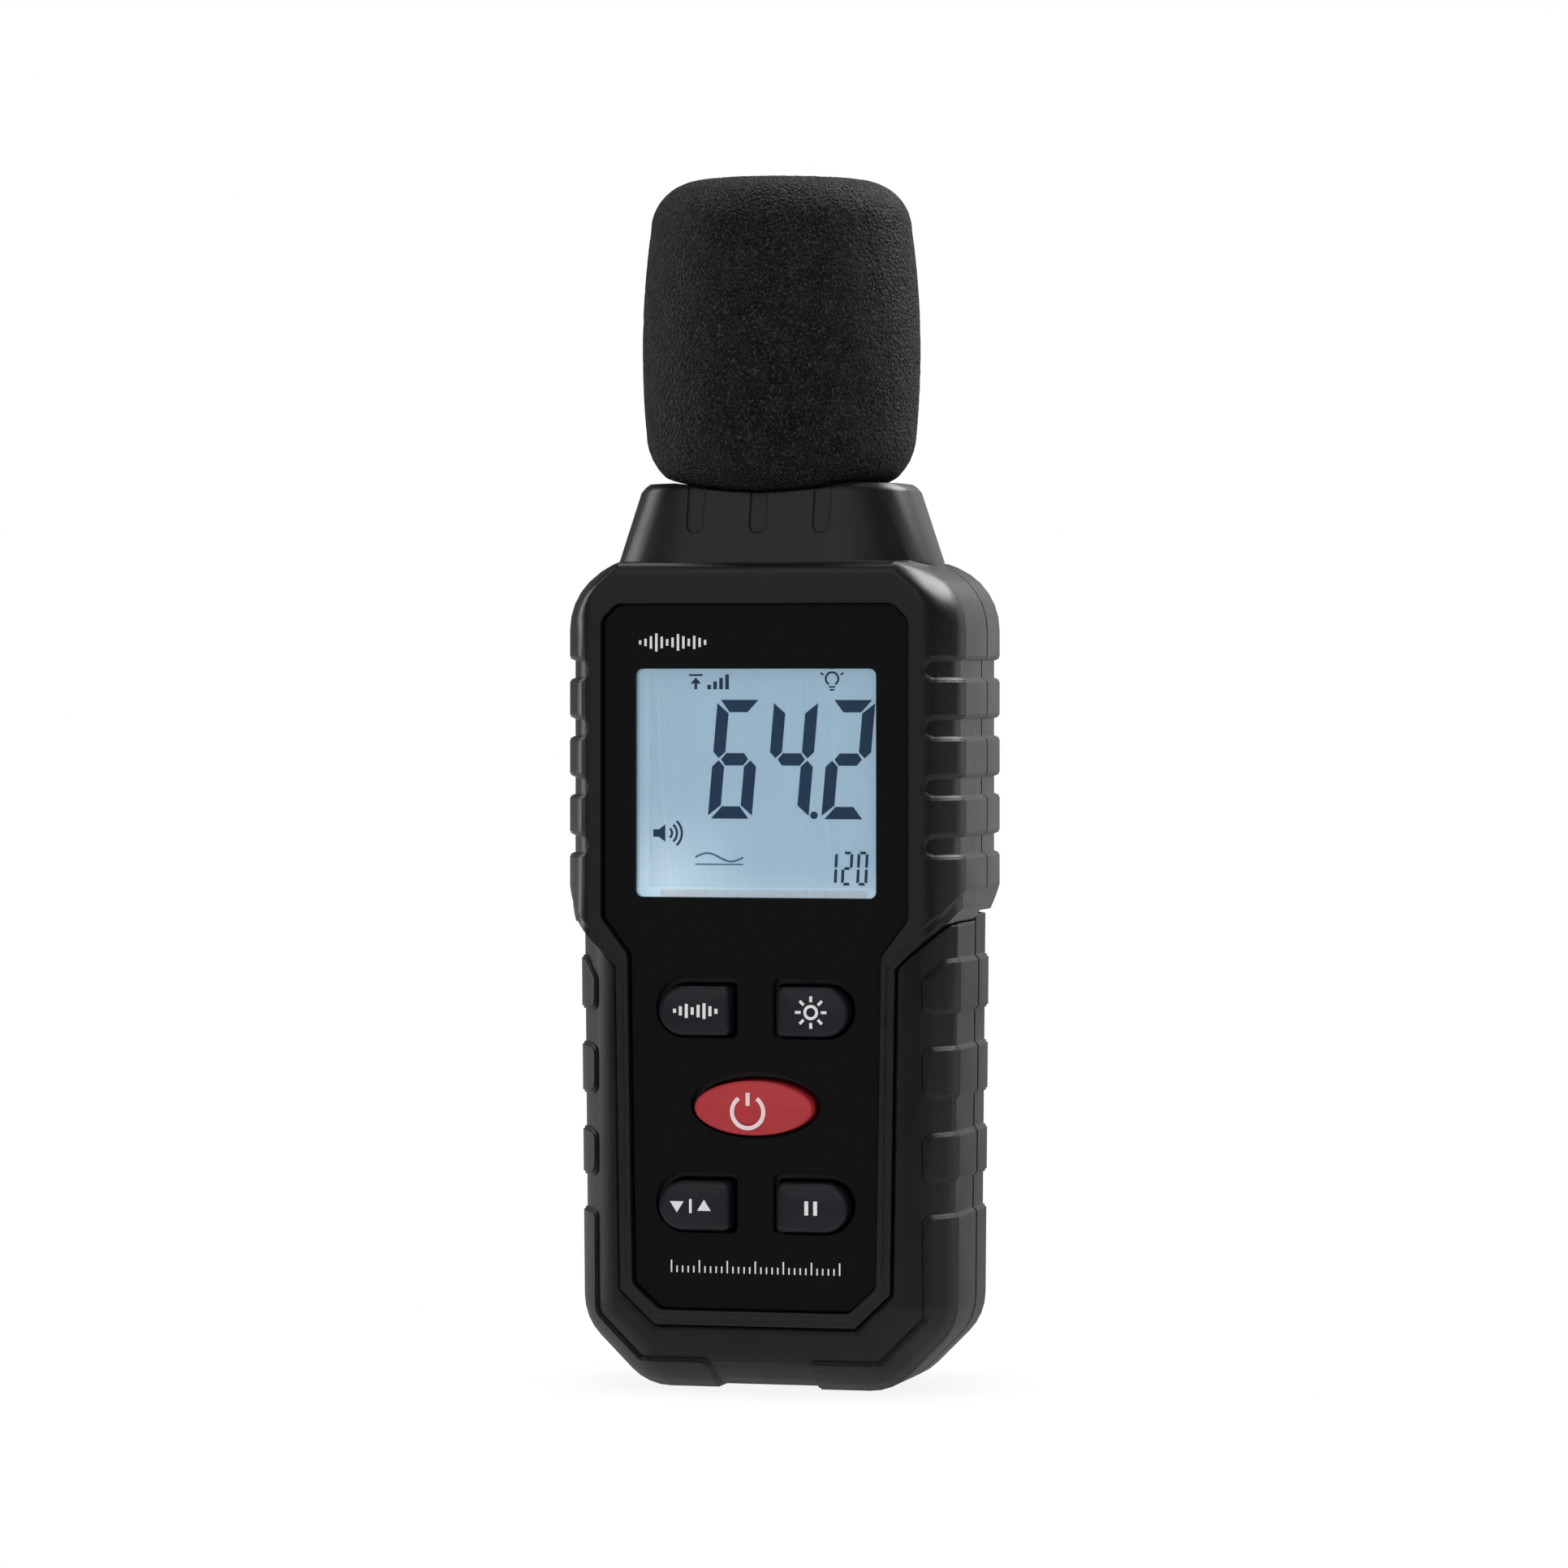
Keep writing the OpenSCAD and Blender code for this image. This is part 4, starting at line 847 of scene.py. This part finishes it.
def draw_bulb(mesh, levels, cx, cz):
    add_stroke(mesh, levels, outline_arc(cx, cz, 0.78, 0.78, -60, 240, 22), 0.24)
    for z, w in ((-1.0, 0.75), (-1.35, 0.55)):
        add_bar(mesh, levels, cx - w / 2, cz + z - 0.1, cx + w / 2, cz + z + 0.1)
    for a in (25, 90, 155):
        c, s = cos(radians(a)), sin(radians(a))
        add_stroke(mesh, levels, [(cx + r * c, cz + r * s) for r in (1.15, 1.6)], 0.2)


def draw_peak(mesh, levels, x, z):
    """Generic mark for a held peak: an arrow under a bar, then four steps."""
    add_bar(mesh, levels, x, z + 0.72, x + 1.7, z + 0.95)
    add_plate(mesh, levels, [(x + 0.2, z - 0.2), (x + 1.5, z - 0.2), (x + 0.85, z + 0.55)])
    add_bar(mesh, levels, x + 0.68, z - 0.9, x + 1.02, z - 0.2)
    for i in range(4):
        left, h = x + 2.3 + i * 0.75, 0.55 + 0.42 * i
        add_bar(mesh, levels, left, z - 0.9, left + 0.45, z - 0.9 + h)


def draw_speaker(mesh, levels, x, z):
    """A loudspeaker with three waves."""
    cone = [(x + 0.7, z - 0.45), (x + 1.5, z - 1.05), (x + 1.5, z + 1.05), (x + 0.7, z + 0.45)]
    add_plate(mesh, levels, [(x, z - 0.45), *cone, (x, z + 0.45)])
    for r in (0.75, 1.37, 1.99):
        add_stroke(mesh, levels, outline_arc(x + 1.6, z, r, r, -48, 48, 10), 0.27)


def draw_slow(mesh, levels, x, z):
    """A smooth curve over a base line, the sign for slow averaging."""
    add_stroke(mesh, levels, [(x + 0.25 * i, z + 0.5 * sin(i / 24 * 2 * pi)) for i in range(25)], 0.24)
    add_bar(mesh, levels, x, z - 0.95, x + 6, z - 0.78)


def display_marks(paints):
    levels = (GLASS_LOW.y - 0.09, GLASS_LOW.y - 0.02)
    mark(
        "lcd_reading",
        "housing",
        paints["segment"],
        levels,
        (draw_digits, (6, 4, 2), 8.45, 3.77, BIG_DIGITS),
        (draw_point, *at_display(21.75, 17.74)),
        (draw_digits, (1, 2, 0), 23.2, 22.1, SMALL_DIGITS),
        (draw_peak, *at_display(6.1, 1.6)),
        (draw_bulb, *at_display(24.0, 1.2)),
        (draw_speaker, *at_display(1.6, 20.0)),
    )
    slow = (draw_slow, *at_display(6.9, 22.9))
    mark("lcd_slow_sign", "housing", paints["faint"], levels, slow)


# ---------------------------------------------------------------- the panel's plain marks

PRINT_PROUD = 0.015
PRINT_DEPTH = 0.1


def draw_trace(mesh, levels, left, middle):
    """A level trace, in the place of a title."""
    heights = (0.5, 0.9, 1.5, 2.2, 1.4, 0.8, 1.2, 2.0, 1.5, 0.9, 1.6, 1.1, 0.6)
    for i, h in enumerate(heights):
        x = left + i * 0.68
        add_bar(mesh, levels, x, middle - h / 2, x + 0.3, middle + h / 2)


def draw_scale(mesh, levels, left, base):
    """A row of ticks with every fifth one longer, in the place of a label."""
    width, count = 21, 31
    for i in range(count):
        x = left + i * width / (count - 1)
        h = 1.5 if i % 5 == 0 else 0.8
        add_bar(mesh, levels, x - 0.09, base, x + 0.09, base + h)


def panel_marks(paints):
    front = PANEL_Y - PRINT_PROUD
    levels = (front, front + PRINT_DEPTH)
    mark("panel_trace", "housing", paints["print"], levels, (draw_trace, -14.6, 91.0))
    mark("panel_scale", "housing", paints["print"], levels, (draw_scale, -10.5, 14.6))


# ---------------------------------------------------------------- stage, lamps and camera

FLOOR_DROP = 0.2
FLOOR_COLUMNS = [-1500 + 125 * i for i in range(25)]
FLOOR_ROWS = [-60 + 110 * i for i in range(16)]
FLOOR_IN_GLOSS = 0.45
SHADOW_REACH = 12
WORLD_FILL = 0.78
BACKDROP_LEVEL = 0.62
BACKDROP_SPAN = (0.5, 0.78)
BACKDROP_SIDE = (-0.3, 0.15)
FRONT_SPAN = (-0.3, -0.9)
FRONT_LEVELS = (0.28, 0.7)


def floor_paint():
    """White to camera and mirror rays, a little darker close to the object, and matt to other light."""
    p = Paint("floor_white")
    path = p.node("ShaderNodeLightPath").outputs
    rays = p.math("MAXIMUM", path["Is Camera Ray"], path["Is Glossy Ray"])
    matt = p.node("ShaderNodeBsdfDiffuse", {"Color": tone("f2f2f2"), "Roughness": 0.5}).outputs[0]
    sky = p.node("ShaderNodeAmbientOcclusion", {"Distance": SHADOW_REACH * MM}, samples=8).outputs["AO"]
    shade = p.remap(sky, 0.2, 0.9, 0.9, 1)
    strength = p.math("MULTIPLY", shade, p.remap(path["Is Glossy Ray"], 0, 1, 1, FLOOR_IN_GLOSS))
    white = p.node("ShaderNodeEmission", {"Color": (1, 1, 1, 1), "Strength": strength}).outputs[0]
    return p.finish(p.blend(rays, matt, white))


def white_stage():
    """A pale floor just under the object."""
    mesh = bmesh.new()
    z = -FLOOR_DROP * MM
    grid = [[mesh.verts.new((x * MM, y * MM, z)) for x in FLOOR_COLUMNS] for y in FLOOR_ROWS]
    for near, far in zip(grid, grid[1:]):
        for i in range(len(FLOOR_COLUMNS) - 1):
            mesh.faces.new((near[i], near[i + 1], far[i + 1], far[i]))
    data = bpy.data.meshes.new("floor")
    mesh.to_mesh(data)
    mesh.free()
    data.materials.append(floor_paint())
    piece = bpy.data.objects.new("floor", data)
    bpy.context.scene.collection.objects.link(piece)


def white_world():
    """White to the camera. Glossy rays find a pale backdrop behind the object and to its right, and a dim
    room in front that is brighter above; diffuse rays find an even fill."""
    world = bpy.data.worlds.new("studio")
    world.use_nodes = True
    n = ShaderTree(world.node_tree)
    way = n.node("ShaderNodeTexCoord").outputs["Generated"]
    axes = n.node("ShaderNodeSeparateXYZ", {0: way}).outputs
    path = n.node("ShaderNodeLightPath").outputs

    def ramp(axis, span, low, high):
        return n.remap(axes[axis], *span, low, high, shape="SMOOTHSTEP")

    def light(strength):
        values = {"Color": (1, 1, 1, 1), "Strength": strength}
        return n.node("ShaderNodeBackground", values).outputs[0]

    backdrop = ramp("Y", BACKDROP_SPAN, 0, BACKDROP_LEVEL)
    behind = n.math("MULTIPLY", backdrop, ramp("X", BACKDROP_SIDE, 0.2, 1))
    ahead = n.math("MULTIPLY", ramp("Y", FRONT_SPAN, 0, 1), ramp("Z", (0, 0.6), *FRONT_LEVELS))
    mirrored = n.blend(path["Is Glossy Ray"], light(WORLD_FILL), light(n.math("ADD", behind, ahead)))
    seen = n.blend(path["Is Camera Ray"], mirrored, light(1))
    n.node("ShaderNodeOutputWorld", {"Surface": seen})
    bpy.context.scene.world = world


def strip_lamp(name, place, width, height, power):
    """A rectangular lamp, sized in metres, that faces the middle of the object."""
    data = bpy.data.lights.new(name, "AREA")
    data.shape = "RECTANGLE"
    data.size = width
    data.size_y = height
    data.energy = power
    lamp = bpy.data.objects.new(name, data)
    lamp.location = place
    towards = Vector((0, 0, 0.075)) - Vector(place)
    lamp.rotation_euler = towards.to_track_quat("-Z", "Y").to_euler()
    bpy.context.scene.collection.objects.link(lamp)


def studio_lamps():
    strip_lamp("top", (0.0, 0.1, 0.7), 0.4, 0.4, 2)
    strip_lamp("back_right", (0.39, 0.47, 0.55), 0.45, 0.35, 3)
    strip_lamp("left", (-0.6, 0.15, 0.2), 0.2, 0.5, 1)


def long_lens_camera():
    """A level camera with a long lens, 14 degrees round to the right of the object."""
    distance, yaw, height = 0.79707, radians(14.178), 0.0875
    data = bpy.data.cameras.new("camera")
    data.sensor_width = 36
    data.lens = 148.52
    data.shift_x = -0.00108
    data.shift_y = -0.0719
    data.clip_start = 0.05
    data.clip_end = 20
    camera = bpy.data.objects.new("camera", data)
    camera.location = (distance * sin(yaw), CASE_Y * MM - distance * cos(yaw), height)
    camera.rotation_euler = (radians(90), 0, yaw)
    bpy.context.scene.collection.objects.link(camera)
    bpy.context.scene.camera = camera


bpy.context.scene.view_settings.view_transform = "Standard"
paints = make_materials()
dress_cad(paints)
foam_cover(paints["foam"])
cover_foam(paints["pad"])
key_faces(paints)
key_marks(paints)
display_marks(paints)
panel_marks(paints)
white_stage()
white_world()
studio_lamps()
long_lens_camera()
